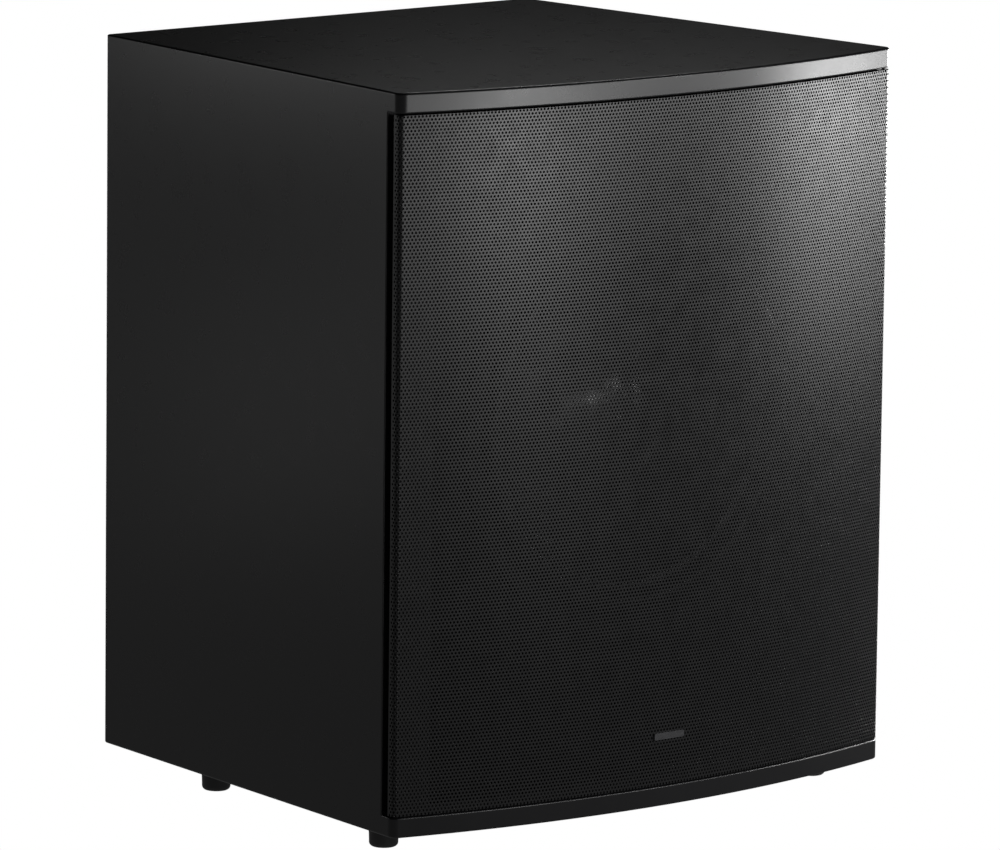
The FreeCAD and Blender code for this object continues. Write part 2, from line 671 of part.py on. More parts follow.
def driver_screws():
    """Socket-head screws through the rim into the baffle."""
    screws = []
    for x, z in driver_circle(BOLT_CIRCLE_R, DRIVER_SCREWS):
        front = Y_BAFFLE - DRIVER_HEAD_H
        head = rod_y(x, z, DRIVER_HEAD_R, front, Y_BAFFLE)
        rim = [e for e in head.Edges if e.BoundBox.YMax < front + 1e-3]
        head = head.makeChamfer(DRIVER_HEAD_R / 8, rim)
        hexagon = [(x + DRIVER_HEAD_R / 2 * math.cos(math.radians(60 * i)),
                    z + DRIVER_HEAD_R / 2 * math.sin(math.radians(60 * i))) for i in range(6)]
        key = face_of(hexagon, lambda u, v: Vector(u, front, v)).extrude(Vector(0, DRIVER_HEAD_H / 2, 0))
        shank = rod_y(x, z, DRIVER_SCREW_R, Y_BAFFLE, Y_BAFFLE + DRIVER_SCREW_LENGTH - SLIP)
        screws.append(head.cut(key).fuse(shank))
    return group(screws)


def surround():
    """The rubber half roll. It flexes, so it stands clear of the rim."""
    outer = ROLL_INNER_R + 2 * ROLL_R
    back = -SLIP
    front = back - SURROUND_T
    middle = ROLL_INNER_R + ROLL_R
    return around_driver([
        (ROLL_INNER_R - CONE_LIP, back), (ROLL_INNER_R - CONE_LIP, front), (ROLL_INNER_R, front),
        ((middle, front - ROLL_R), (outer, front)), (outer + SURROUND_FLANGE, front),
        (outer + SURROUND_FLANGE, back),
        (outer - SURROUND_T, back), (outer - SURROUND_T, front),
        ((middle, front - ROLL_R + SURROUND_T), (ROLL_INNER_R + SURROUND_T, front)),
        (ROLL_INNER_R + SURROUND_T, back)])


def cone():
    """The paper cone, slightly flared, with a flat lip that the surround is glued to."""
    neck = COIL_R + FORMER_T + 2 * FIT
    lip_inner = ROLL_INNER_R - CONE_LIP
    return around_driver([
        (lip_inner, -SLIP), (ROLL_INNER_R, -SLIP), (ROLL_INNER_R, CONE_T - SLIP),
        (lip_inner + CONE_T, CONE_T - SLIP),
        ((CAP_R + CONE_T, CAP_SEAT + CONE_T), (neck, CONE_DEPTH + 1.5 * CONE_T)), (neck, CONE_DEPTH),
        ((CAP_R, CAP_SEAT), (lip_inner, -SLIP))])


def dome_depth(radius, peak, rim_r, rim_depth):
    """Depth at a radius of a spherical dome with the given peak, rim radius and rim depth."""
    rise = rim_depth - peak
    sphere_r = (rim_r ** 2 + rise ** 2) / (2 * rise)
    return peak + sphere_r - math.sqrt(sphere_r ** 2 - radius ** 2)


def dust_cap():
    """The convex cap over the coil, glued to the cone just ahead of its seat."""
    rim_depth = CAP_SEAT - 2 * SLIP
    peak = rim_depth - CAP_RISE
    half = CAP_R / 2
    inner_r = CAP_R - CAP_T
    return around_driver([
        (0, peak), ((half, dome_depth(half, peak, CAP_R, rim_depth)), (CAP_R, rim_depth)),
        (CAP_R, rim_depth + SLIP), (inner_r, rim_depth + SLIP),
        ((half, dome_depth(half, peak + CAP_T, inner_r, rim_depth + SLIP)), (0, peak + CAP_T))])


def coil_former():
    return ring(COIL_R, COIL_R + FORMER_T, CONE_DEPTH - 9, CONE_DEPTH - 9 + FORMER_LENGTH)


def coil_winding():
    middle = TOP_PLATE_DEPTH + TOP_PLATE_T / 2
    inner = COIL_R + FORMER_T + FIT
    return ring(inner, inner + COIL_T, middle - COIL_LENGTH / 2, middle + COIL_LENGTH / 2)


def spider():
    """The corrugated cloth that centres the coil. It flexes, so it stands clear of its ledge."""
    front = LEDGE_DEPTH - SLIP - SPIDER_T
    back = front + SPIDER_T
    neck = COIL_R + FORMER_T + 2 * FIT
    outer = LEDGE_R - WALL_T + 1 - 2 * SLIP
    ledge_inner = LEDGE_R - WALL_T + 1 - LEDGE_W
    step = (ledge_inner - SPIDER_WAVES_FROM) / (2 * SPIDER_WAVES)
    crests = [(SPIDER_WAVES_FROM + i * step, SPIDER_WAVE_H if i % 2 else -SPIDER_WAVE_H)
              for i in range(2 * SPIDER_WAVES)]
    path = [(neck, front), (SPIDER_WAVES_FROM, front)]
    path += [((r + step / 2, front + height), (r + step, front)) for r, height in crests]
    path += [(outer, front), (outer, back), (ledge_inner, back)]
    path += [((r + step / 2, back + height), (r, back)) for r, height in reversed(crests)]
    return around_driver(path + [(neck, back)])


def top_plate():
    bore = COIL_R + FORMER_T + FIT + COIL_T + COIL_GAP
    return ring(bore, TOP_PLATE_R, TOP_PLATE_DEPTH, TOP_PLATE_DEPTH + TOP_PLATE_T)


MAGNET_DEPTH = TOP_PLATE_DEPTH + TOP_PLATE_T
BACK_DEPTH = MAGNET_DEPTH + MAGNET_T


def ring_magnet():
    return ring(MAGNET_BORE_R, MAGNET_R, MAGNET_DEPTH, BACK_DEPTH)


def pole_and_back_plate():
    return around_driver([
        (VENT_R, TOP_PLATE_DEPTH), (POLE_R - 1, TOP_PLATE_DEPTH), (POLE_R, TOP_PLATE_DEPTH + 1),
        (POLE_R, BACK_DEPTH),
        (TOP_PLATE_R, BACK_DEPTH), (TOP_PLATE_R, BACK_DEPTH + BACK_PLATE_T - 2),
        (TOP_PLATE_R - 2, BACK_DEPTH + BACK_PLATE_T), (VENT_R, BACK_DEPTH + BACK_PLATE_T)])


def magnet_boot():
    """The rubber cover round the magnet and over the back plate's edge."""
    inner = MAGNET_R + SLIP
    back = BACK_DEPTH + BACK_PLATE_T + SLIP
    return around_driver([
        (inner, MAGNET_DEPTH), (inner + BOOT_T, MAGNET_DEPTH), (inner + BOOT_T, back),
        (inner, back + BOOT_T),
        (TOP_PLATE_R - 20, back + BOOT_T), (TOP_PLATE_R - 20, back), (inner, back)])


def turned_to_terminal(shape):
    """Turns a shape made at +X of the driver's axis to where the driver's terminals are."""
    shape.rotate(Vector(0, 0, Z_DRIVER), Vector(0, 1, 0), -TERMINAL_ANGLE)
    return shape


TERMINAL_X = (LEDGE_R + SLIP, LEDGE_R + 14.0)
TERMINAL_DEPTH = (LEDGE_DEPTH - 3.0, LEDGE_DEPTH + 5.0)
TERMINAL_HALF = 13.0
CONTACT_X = TERMINAL_X[1] - 4.0
CONTACT_SPACING = 6.0         # from the terminals' middle to each contact


def terminal_block():
    front, back = (Y_BAFFLE + depth for depth in TERMINAL_DEPTH)
    body = block(*TERMINAL_X, front, back, Z_DRIVER - TERMINAL_HALF, Z_DRIVER + TERMINAL_HALF)
    outer = [e for e in body.Edges if e.BoundBox.XMin > TERMINAL_X[0] + 1]
    return turned_to_terminal(body.makeChamfer(1.0, outer))


def tinsel_leads():
    """Two braided leads from behind the cone, out through a window of the basket, to the terminals."""
    route = [(CAP_R - 8, CAP_SEAT + 12), (CAP_R + 10, CAP_SEAT + 12), (CAP_R + 35, CAP_SEAT + 3),
             (CONTACT_X + 2, CAP_SEAT + 12), (CONTACT_X, TERMINAL_DEPTH[0] - 12),
             (CONTACT_X, TERMINAL_DEPTH[0])]
    leads = [tube([(x, Y_BAFFLE + d, Z_DRIVER + side * CONTACT_SPACING) for x, d in route], LEAD_R)
             for side in (-1, 1)]
    return turned_to_terminal(group(leads))


def speaker_leads():
    """The two wires from the amplifier's can, through the brace, to the driver's terminals."""
    angle = math.radians(TERMINAL_ANGLE)
    y_start = Y_BAFFLE + TERMINAL_DEPTH[1]
    y_end = Y_PLATE - PLATE_T - CAN_DEPTH
    over_bar = (Z_FLOOR + Z_CEILING) / 2 + BRACE_BAR / 2 + WIRE_OVER_BAR
    leads = []
    for side in (-1, 1):
        x = CONTACT_X * math.cos(angle) - side * CONTACT_SPACING * math.sin(angle)
        apart = side * CONTACT_SPACING * math.cos(angle)
        z = Z_DRIVER + CONTACT_X * math.sin(angle) + apart
        x_end, z_end = x - 12, z + 14
        route = [(x, y_start, z), (x, y_start + 35, z), (x, y_start + 85, over_bar + apart),
                 (x_end, y_end - 85, over_bar + apart + 20), (x_end, y_end - 35, z_end), (x_end, y_end, z_end)]
        leads.append(tube(route, WIRE_R))
    return group(leads)


# ---- amplifier -------------------------------------------------------------------------------------------
def plate_screw_places():
    x, z = PLATE_W / 2 - PLATE_SCREW_INSET, PLATE_H / 2 - PLATE_SCREW_INSET
    corners_and_sides = [(side * x, up) for side in (-1, 1) for up in (-z, -z / 3, z / 3, z)]
    return corners_and_sides + [(0, -z), (0, z)]


def plate_openings(inner, outer):
    """What is cut through the amplifier's plate for the pieces mounted in it."""
    rods = [(place, BUSHING_R + FIT) for place in (LEVEL_PLACE, CROSSOVER_PLACE)]
    rods += [(place, PHONO_BODY_R + FIT) for place in PHONO_PLACES]
    rods += [(BALANCED_PLACE, BALANCED_BODY_R + FIT), (LIGHT_PLACE, LIGHT_R + FIT)]
    rods += [(place, PLATE_SCREW_R + 2 * FIT) for place in plate_screw_places()]
    blocks = [(place, SLOT_W, SLOT_H) for place in (PHASE_PLACE, MODE_PLACE)]
    blocks += [(shifted(BALANCED_PLACE, up=TAB_UP), TAB_W + 2 * SLIP, TAB_H + 2 * SLIP)]
    blocks += [(INLET_PLACE, INLET_BODY[0] + 2 * FIT, INLET_BODY[1] + 2 * FIT)]
    blocks += [(ROCKER_PLACE, BEZEL[0] + 2 * FIT, BEZEL[1] + 2 * FIT)]
    return ([plate_rod(place, radius, inner, outer) for place, radius in rods]
            + [plate_block(place, width, height, inner, outer) for place, width, height in blocks])


def amplifier_plate():
    plate = plate_block((0, 0), PLATE_W, PLATE_H, -PLATE_T, 0)
    plate = plate.makeFillet(PLATE_CORNER_R, [e for e in plate.Edges if abs(e.Length - PLATE_T) < 1e-6])
    for tool in plate_openings(-PLATE_T - 1, 1):
        plate = plate.cut(tool)
    return plate


def plate_seal():
    """A thin foam frame between the plate and the rear panel."""
    seal = plate_block((0, 0), PLATE_W - 2, PLATE_H - 2, -PLATE_T - PLATE_SEAL_T, -PLATE_T)
    seal = seal.cut(plate_block((0, 0), CUTOUT_W, CUTOUT_H, -2 * PANEL_T, 0))
    for place in plate_screw_places():
        seal = seal.cut(plate_rod(place, PLATE_SCREW_R + 2 * FIT, -PANEL_T, 0))
    return seal


def plate_screws():
    screws = []
    for place in plate_screw_places():
        head = plate_rod(place, PLATE_SCREW_HEAD_R, 0, PLATE_SCREW_HEAD_H)
        rim = [e for e in head.Edges if e.BoundBox.YMin > Y_PLATE + PLATE_SCREW_HEAD_H - 1e-3]
        head = head.makeFillet(PLATE_SCREW_HEAD_H / 2, rim)
        for width, height in ((1.0, 4.0), (4.0, 1.0)):
            cross = plate_block(place, width, height, PLATE_SCREW_HEAD_H / 2, PLATE_SCREW_HEAD_H + 1)
            head = head.cut(cross)
        screws.append(head.fuse(plate_rod(place, PLATE_SCREW_R, -PLATE_SCREW_LENGTH, 0)))
    return group(screws)


def amplifier_can():
    """The sealed steel box behind the plate."""
    width, height = CUTOUT_W - 2 * CAN_GAP, CUTOUT_H - 2 * CAN_GAP
    can = plate_block((0, 0), width, height, -PLATE_T - CAN_DEPTH, -PLATE_T)
    inside = plate_block((0, 0), width - 2 * CAN_T, height - 2 * CAN_T, -PLATE_T - CAN_DEPTH + CAN_T, 0)
    return can.cut(inside)


def heat_sink():
    """Upright fins bonded to a thin base, on the plate's outer face."""
    pieces = [plate_block(SINK_PLACE, SINK_W, SINK_H, 0, SINK_BASE_T)]
    pitch = (SINK_W - FIN_T) / (FINS - 1)
    for i in range(FINS):
        place = shifted(SINK_PLACE, -SINK_W / 2 + FIN_T / 2 + i * pitch)
        pieces.append(plate_block(place, FIN_T, SINK_H, SINK_BASE_T, SINK_BASE_T + FIN_H))
    return group(pieces)


def circuit_board():
    width = CUTOUT_W - 2 * CAN_GAP - 2 * CAN_T - 20
    return plate_block((0, 55), width, CUTOUT_H / 2, -BOARD_DEPTH - BOARD_T, -BOARD_DEPTH)


def filter_capacitors():
    cans = []
    for right in (-45, -5):
        foot = -BOARD_DEPTH - BOARD_T
        can = plate_rod((right, 80), CAPACITOR_R, foot - CAPACITOR_H, foot)
        rim = [e for e in can.Edges if e.BoundBox.YMax < can.BoundBox.YMin + 1e-3]
        cans.append(can.makeFillet(1.5, rim))
    return group(cans)


def power_transformer():
    """A toroid bolted to the can's back wall."""
    inner = -PLATE_T - CAN_DEPTH + CAN_T
    toroid = plate_rod(TOROID_PLACE, TOROID_R, inner, inner + TOROID_H)
    rims = [e for e in toroid.Edges if len(e.Vertexes) == 1]
    toroid = toroid.makeFillet(TOROID_H / 4, rims)
    return toroid.cut(plate_rod(TOROID_PLACE, TOROID_BORE_R, inner - 1, inner + TOROID_H + 1))


def knob(place):
    """A round knob with a pointer groove, pressed on its shaft."""
    body = plate_rod(place, KNOB_R, KNOB_GAP, KNOB_PROUD)
    rim = [e for e in body.Edges if e.BoundBox.YMin > Y_PLATE + KNOB_PROUD - 1e-3]
    body = body.makeFillet(KNOB_EDGE_R, rim)
    groove_place = shifted(place, up=KNOB_R * 0.6)
    groove = plate_block(groove_place, 1.2, KNOB_R * 0.8, KNOB_PROUD - 0.8, KNOB_PROUD + 1)
    bore = plate_rod(place, SHAFT_R + FIT, KNOB_GAP - 1, KNOB_PROUD - 4 + FIT)
    return body.cut(groove).cut(bore)


def knob_shaft(place):
    return plate_rod(place, SHAFT_R, -PLATE_T - POT_T + 2, KNOB_PROUD - 4)


def potentiometers():
    """Two rotary controls: a round body behind the plate and a bushing through it."""
    bodies = []
    for place in (LEVEL_PLACE, CROSSOVER_PLACE):
        body = plate_rod(place, POT_R, -PLATE_T - POT_T, -PLATE_T)
        body = body.fuse(plate_rod(place, BUSHING_R, -PLATE_T, KNOB_GAP / 2))
        bodies.append(body.cut(plate_rod(place, SHAFT_R + RUN, -PLATE_T - POT_T + 1, KNOB_GAP)))
    return group(bodies)


def slide_switch_bodies():
    """Housings behind the plate's two slots, each with a channel for its slider."""
    bodies = []
    for place in (PHASE_PLACE, MODE_PLACE):
        body = plate_block(place, SLOT_W + 5, SLOT_H + 5, -PLATE_T - 8, -PLATE_T)
        bodies.append(body.cut(plate_block(place, SLOT_W, SLOT_H, -PLATE_T - 6, 0)))
    return group(bodies)


def slider(place):
    """A switch's slider, resting at the left end of its slot as seen from behind."""
    rest = shifted(place, right=-SLOT_W / 2 + SLIP + SLIDER_W / 2)
    body = plate_block(rest, SLIDER_W, SLOT_H - 2 * SLIP, -PLATE_T - 5, SLIDER_PROUD)
    for right in (-1.2, 0.0, 1.2):
        ridge_place = shifted(rest, right=right)
        body = body.cut(plate_block(ridge_place, 0.5, SLOT_H, SLIDER_PROUD - 0.6, SLIDER_PROUD + 1))
    return body


def balanced_shell():
    """The flange and sleeve of a round three-pole socket, with a slot for its release tab."""
    flange = plate_block(BALANCED_PLACE, *BALANCED_FLANGE, 0, BALANCED_FLANGE_T)
    flange = flange.makeFillet(2.0, [e for e in flange.Edges if abs(e.Length - BALANCED_FLANGE_T) < 1e-6])
    shell = flange.fuse(plate_rod(BALANCED_PLACE, BALANCED_BODY_R, -BALANCED_DEPTH - 4, 0))
    shell = shell.cut(plate_rod(BALANCED_PLACE, BALANCED_RING_R, -BALANCED_DEPTH, BALANCED_FLANGE_T + 1))
    tab = plate_block(shifted(BALANCED_PLACE, up=TAB_UP), TAB_W + 2 * SLIP, TAB_H + 2 * SLIP,
                      -BALANCED_DEPTH - 5, BALANCED_FLANGE_T + 1)
    return shell.cut(tab)


def balanced_insert():
    """The round core with three contact holes, standing in the sleeve."""
    insert = plate_rod(BALANCED_PLACE, BALANCED_INSERT_R, -BALANCED_DEPTH, BALANCED_FLANGE_T - 1)
    for angle in (30, 150, 270):
        right = BALANCED_CONTACT_CIRCLE_R * math.cos(math.radians(angle))
        up = BALANCED_CONTACT_CIRCLE_R * math.sin(math.radians(angle))
        contact = plate_rod(shifted(BALANCED_PLACE, right, up), BALANCED_CONTACT_R, -BALANCED_DEPTH + 2,
                            BALANCED_FLANGE_T + 1)
        insert = insert.cut(contact)
    return insert


def release_tab():
    """The push tab over the balanced socket."""
    place = shifted(BALANCED_PLACE, up=TAB_UP)
    tab = plate_block(place, TAB_W, TAB_H, -PLATE_T - 2, BALANCED_FLANGE_T + TAB_PROUD)
    front = [e for e in tab.Edges if e.BoundBox.YMin > Y_PLATE + BALANCED_FLANGE_T + TAB_PROUD - 1e-3]
    return tab.makeFillet(0.5, front)


def phono_inputs():
    """Two line-level sockets: a flange, a barrel that the plug's shell grips, and a contact hole."""
    sockets = []
    for place in PHONO_PLACES:
        socket = plate_rod(place, PHONO_BODY_R, -PLATE_T - 9, 0)
        socket = socket.fuse(plate_rod(place, PHONO_FLANGE_R, 0, PHONO_FLANGE_T))
        socket = socket.fuse(plate_rod(place, PHONO_R, PHONO_FLANGE_T, PHONO_FLANGE_T + PHONO_LENGTH))
        contact = plate_rod(place, PHONO_CONTACT_R, -PLATE_T, PHONO_FLANGE_T + PHONO_LENGTH + 1)
        sockets.append(socket.cut(contact))
    return group(sockets)


def mains_inlet():
    """The inlet's housing: a recess for a cord's connector above a slot for the fuse drawer."""
    inlet = plate_block(INLET_PLACE, *INLET_FLANGE, 0, INLET_FLANGE_T)
    inlet = inlet.makeFillet(3.0, [e for e in inlet.Edges if abs(e.Length - INLET_FLANGE_T) < 1e-6])
    inlet = inlet.fuse(plate_block(INLET_PLACE, *INLET_BODY, -INLET_BODY_DEPTH, 0))
    recess_place = shifted(INLET_PLACE, up=RECESS_UP)
    recess = plate_block(recess_place, *RECESS, INLET_FLANGE_T - RECESS_DEPTH, INLET_FLANGE_T + 1)
    top = Z_PLATE + recess_place[1] + RECESS[1] / 2
    shoulders = [e for e in recess.Edges if e.Length > RECESS_DEPTH and e.BoundBox.ZMin > top - 1e-3
                 and e.BoundBox.YLength > RECESS_DEPTH]
    inlet = inlet.cut(recess.makeChamfer(RECESS[1] / 4, shoulders))
    slot = plate_block(shifted(INLET_PLACE, up=-DRAWER_DOWN), DRAWER[0] + 2 * SLIP, DRAWER[1] + 2 * SLIP,
                       INLET_FLANGE_T - DRAWER_DEPTH - SLIP, INLET_FLANGE_T + 1)
    inlet = inlet.cut(slot)
    for place in blade_places():
        inlet = inlet.cut(plate_block(place, BLADE_W, BLADE_H, -INLET_BODY_DEPTH - 1, 0))
    return inlet


def blade_places():
    """Live and neutral below, earth above them."""
    low, high = RECESS_UP - 2.0, RECESS_UP + 3.5
    return [shifted(INLET_PLACE, right, up) for right, up in
            ((-BLADE_SPACING / 2, low), (BLADE_SPACING / 2, low), (0.0, high))]


def inlet_blades():
    blades = []
    for place in blade_places():
        end = INLET_FLANGE_T - RECESS_DEPTH + BLADE_REACH
        blade = plate_block(place, BLADE_W, BLADE_H, -INLET_BODY_DEPTH - 6, end)
        tip = [e for e in blade.Edges if e.BoundBox.YMin > blade.BoundBox.YMax - 1e-3]
        blades.append(blade.makeChamfer(BLADE_W / 4, tip))
    return group(blades)


def fuse_drawer():
    """A small drawer under the inlet, with a pocket across it for the fuse."""
    place = shifted(INLET_PLACE, up=-DRAWER_DOWN)
    back = INLET_FLANGE_T - DRAWER_DEPTH
    drawer = plate_block(place, *DRAWER, back, INLET_FLANGE_T)
    lip = plate_block(place, DRAWER[0] + 2 * DRAWER_LIP, DRAWER[1] + 2 * DRAWER_LIP, INLET_FLANGE_T,
                      INLET_FLANGE_T + DRAWER_LIP_T)
    hollow = 2 * FUSE_R + 2 * SLIP
    pocket_place = shifted(place, up=DRAWER[1] / 2 - FUSE_R)
    pocket = plate_block(pocket_place, FUSE_LENGTH + 2 * SLIP, hollow, back + 2, back + 2 + hollow)
    return drawer.fuse(lip).cut(pocket)


def fuse():
    """A glass fuse lying across the drawer, with its two metal caps in one piece."""
    x, z = on_plate(shifted(INLET_PLACE, up=-DRAWER_DOWN + DRAWER[1] / 2 - FUSE_R - SLIP / 2))
    y = Y_PLATE + INLET_FLANGE_T - DRAWER_DEPTH + 2 + SLIP + FUSE_R
    end = x - FUSE_LENGTH / 2
    glass = Part.makeCylinder(FUSE_R - SLIP, FUSE_LENGTH, Vector(end, y, z), Vector(1, 0, 0))
    for start in (end, end + FUSE_LENGTH - 5):
        glass = glass.fuse(Part.makeCylinder(FUSE_R, 5, Vector(start, y, z), Vector(1, 0, 0)))
    return glass


def rocker_bezel():
    """The power switch's housing: a flange, four walls and a bearing hole in each side wall."""
    flange = plate_block(ROCKER_PLACE, BEZEL[0] + 4, BEZEL[1] + 4, 0, BEZEL_T)
    rim = [e for e in flange.Edges if e.BoundBox.YMin > Y_PLATE + BEZEL_T - 1e-3]
    housing = flange.makeChamfer(1.0, rim).fuse(plate_block(ROCKER_PLACE, *BEZEL, -BEZEL_DEPTH - 8, 0))
    opening = plate_block(ROCKER_PLACE, BEZEL[0] - 2 * BEZEL_WALL, BEZEL[1] - 2 * BEZEL_WALL,
                          -BEZEL_DEPTH, BEZEL_T + 1)
    return housing.cut(opening).cut(rocker_pin(PIVOT_R + RUN, BEZEL[0] - BEZEL_WALL + 1))


def rocker_pin(radius, length):
    x, z = on_plate(ROCKER_PLACE)
    start = Vector(x - length / 2, Y_PLATE - PIVOT_DEPTH, z)
    return Part.makeCylinder(radius, length, start, Vector(1, 0, 0))


def power_rocker():
    """The rocker, tilted to off. Its ends are arcs about the pivot, so they pass the bezel at every tilt."""
    x, z = on_plate(ROCKER_PLACE)
    half = BEZEL[0] / 2 - BEZEL_WALL - SLIP

    def at(angle):
        turn = math.radians(angle)
        return (ROCKER_SWEEP_R * math.cos(turn), ROCKER_SWEEP_R * math.sin(turn))

    def mirrored(point):
        return (-point[0], point[1])

    low, high = at(-20), at(32)
    path = [(0, high[1] - 2.2), high, (at(6), low), mirrored(low), (mirrored(at(6)), mirrored(high))]
    face = face_of(path, lambda up, out: Vector(x - half, Y_PLATE - PIVOT_DEPTH + out, z + up))
    rocker = face.extrude(Vector(2 * half, 0, 0)).fuse(rocker_pin(PIVOT_R, BEZEL[0] - BEZEL_WALL))
    rocker.rotate(Vector(x, Y_PLATE - PIVOT_DEPTH, z), Vector(1, 0, 0), -ROCKER_TILT)
    return rocker


# ---- every node ------------------------------------------------------------------------------------------
NODES = {
    "top_panel": top_panel,
    "bottom_panel": bottom_panel,
    "left_side_panel": lambda: side_panel(-1),
    "right_side_panel": lambda: side_panel(1),
    "rear_panel": rear_panel,
    "front_baffle": front_baffle,
    "window_brace": window_brace,
    "corner_battens": corner_battens,
    "damping_lining": damping_lining,
    "rubber_feet": rubber_feet,
    "foot_screws": foot_screws,
    "perforated_grille": perforated_grille,
    "grille_top_rib": grille_top_rib,
    "grille_bottom_rib": grille_bottom_rib,
    "grille_side_posts": grille_side_posts,
    "grille_studs": grille_studs,
    "grille_sockets": grille_sockets,
    "badge": badge,
    "driver_basket": driver_basket,
    "front_gasket": front_gasket,
    "driver_screws": driver_screws,
    "surround": surround,
    "cone": cone,
    "dust_cap": dust_cap,
    "coil_former": coil_former,
    "coil_winding": coil_winding,
    "spider": spider,
    "top_plate": top_plate,
    "ring_magnet": ring_magnet,
    "pole_and_back_plate": pole_and_back_plate,
    "magnet_boot": magnet_boot,
    "terminal_block": terminal_block,
    "tinsel_leads": tinsel_leads,
    "speaker_leads": speaker_leads,
    "amplifier_plate": amplifier_plate,
    "foam_seals": lambda: group([driver_seal(), plate_seal()]),
    "plate_screws": plate_screws,
    "amplifier_can": amplifier_can,
    "heat_sink": heat_sink,
    "circuit_board": circuit_board,
    "filter_capacitors": filter_capacitors,
    "power_transformer": power_transformer,
    "level_knob": lambda: knob(LEVEL_PLACE),
    "level_shaft": lambda: knob_shaft(LEVEL_PLACE),
    "crossover_knob": lambda: knob(CROSSOVER_PLACE),
    "crossover_shaft": lambda: knob_shaft(CROSSOVER_PLACE),
    "potentiometers": potentiometers,
    "slide_switch_bodies": slide_switch_bodies,
    "phase_slider": lambda: slider(PHASE_PLACE),
    "mode_slider": lambda: slider(MODE_PLACE),
    "balanced_shell": balanced_shell,
    "balanced_insert": balanced_insert,
    "release_tab": release_tab,
    "phono_inputs": phono_inputs,
    "mains_inlet": mains_inlet,
    "inlet_blades": inlet_blades,
    "fuse_drawer": fuse_drawer,
    "fuse": fuse,
    "rocker_bezel": rocker_bezel,
    "power_rocker": power_rocker,
}

os.makedirs("parts", exist_ok=True)
for name, make in NODES.items():
    make().exportStep("parts/" + name + ".step")
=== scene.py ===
"""Looks of a powered subwoofer: a black cabinet with a bowed perforated steel grille, the driver behind the
grille and the plate amplifier in the back. Metres, unless a name or a comment says millimetres.
"""
import math

import bmesh
import bpy
import numpy as np
from mathutils import Matrix, Vector


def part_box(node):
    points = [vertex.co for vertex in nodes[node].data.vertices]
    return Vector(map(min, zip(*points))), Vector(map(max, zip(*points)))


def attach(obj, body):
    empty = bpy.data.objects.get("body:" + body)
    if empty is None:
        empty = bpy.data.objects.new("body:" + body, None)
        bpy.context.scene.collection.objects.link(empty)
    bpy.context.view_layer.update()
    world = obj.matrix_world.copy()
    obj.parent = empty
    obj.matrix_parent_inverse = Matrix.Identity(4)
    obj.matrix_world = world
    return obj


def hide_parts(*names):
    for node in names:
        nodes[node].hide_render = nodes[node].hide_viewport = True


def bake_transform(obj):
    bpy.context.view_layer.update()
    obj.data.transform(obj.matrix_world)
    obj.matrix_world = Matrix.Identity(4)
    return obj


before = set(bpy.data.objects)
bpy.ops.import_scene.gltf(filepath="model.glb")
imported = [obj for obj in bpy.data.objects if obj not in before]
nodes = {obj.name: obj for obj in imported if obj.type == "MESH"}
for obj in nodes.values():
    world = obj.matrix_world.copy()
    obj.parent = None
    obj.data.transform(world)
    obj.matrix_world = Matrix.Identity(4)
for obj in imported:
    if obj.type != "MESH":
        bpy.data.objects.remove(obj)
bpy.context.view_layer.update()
MM = 0.001


# ---- camera ----------------------------------------------------------------------------------------------
CAMERA_PLACE = Vector((-4.56714, -5.58092, 1.57047))
CAMERA_YAW = 39.41            # degrees from straight ahead
CAMERA_PITCH = 9.81           # degrees downwards
CAMERA_ROLL = 0.0117          # radians
CAMERA_SENSOR = 36.0          # mm
CAMERA_LENS = 292.29          # mm


def aim_camera():
    """A long lens from the front left, a little above the cabinet's top."""
    yaw, pitch, roll = math.radians(CAMERA_YAW), math.radians(CAMERA_PITCH), CAMERA_ROLL
    forward = Vector((math.sin(yaw) * math.cos(pitch), math.cos(yaw) * math.cos(pitch), -math.sin(pitch)))
    right = Vector((math.cos(yaw), -math.sin(yaw), 0))
    up = right.cross(forward)
    turned_right = math.cos(roll) * right + math.sin(roll) * up
    turned_up = -math.sin(roll) * right + math.cos(roll) * up
    data = bpy.data.cameras.new("camera")
    data.sensor_width = CAMERA_SENSOR
    data.lens = CAMERA_LENS
    data.clip_end = 60.0
    camera = bpy.data.objects.new("camera", data)
    axes = Matrix((turned_right, turned_up, -forward)).transposed().to_4x4()
    camera.matrix_world = Matrix.Translation(CAMERA_PLACE) @ axes
    bpy.context.collection.objects.link(camera)
    bpy.context.scene.camera = camera


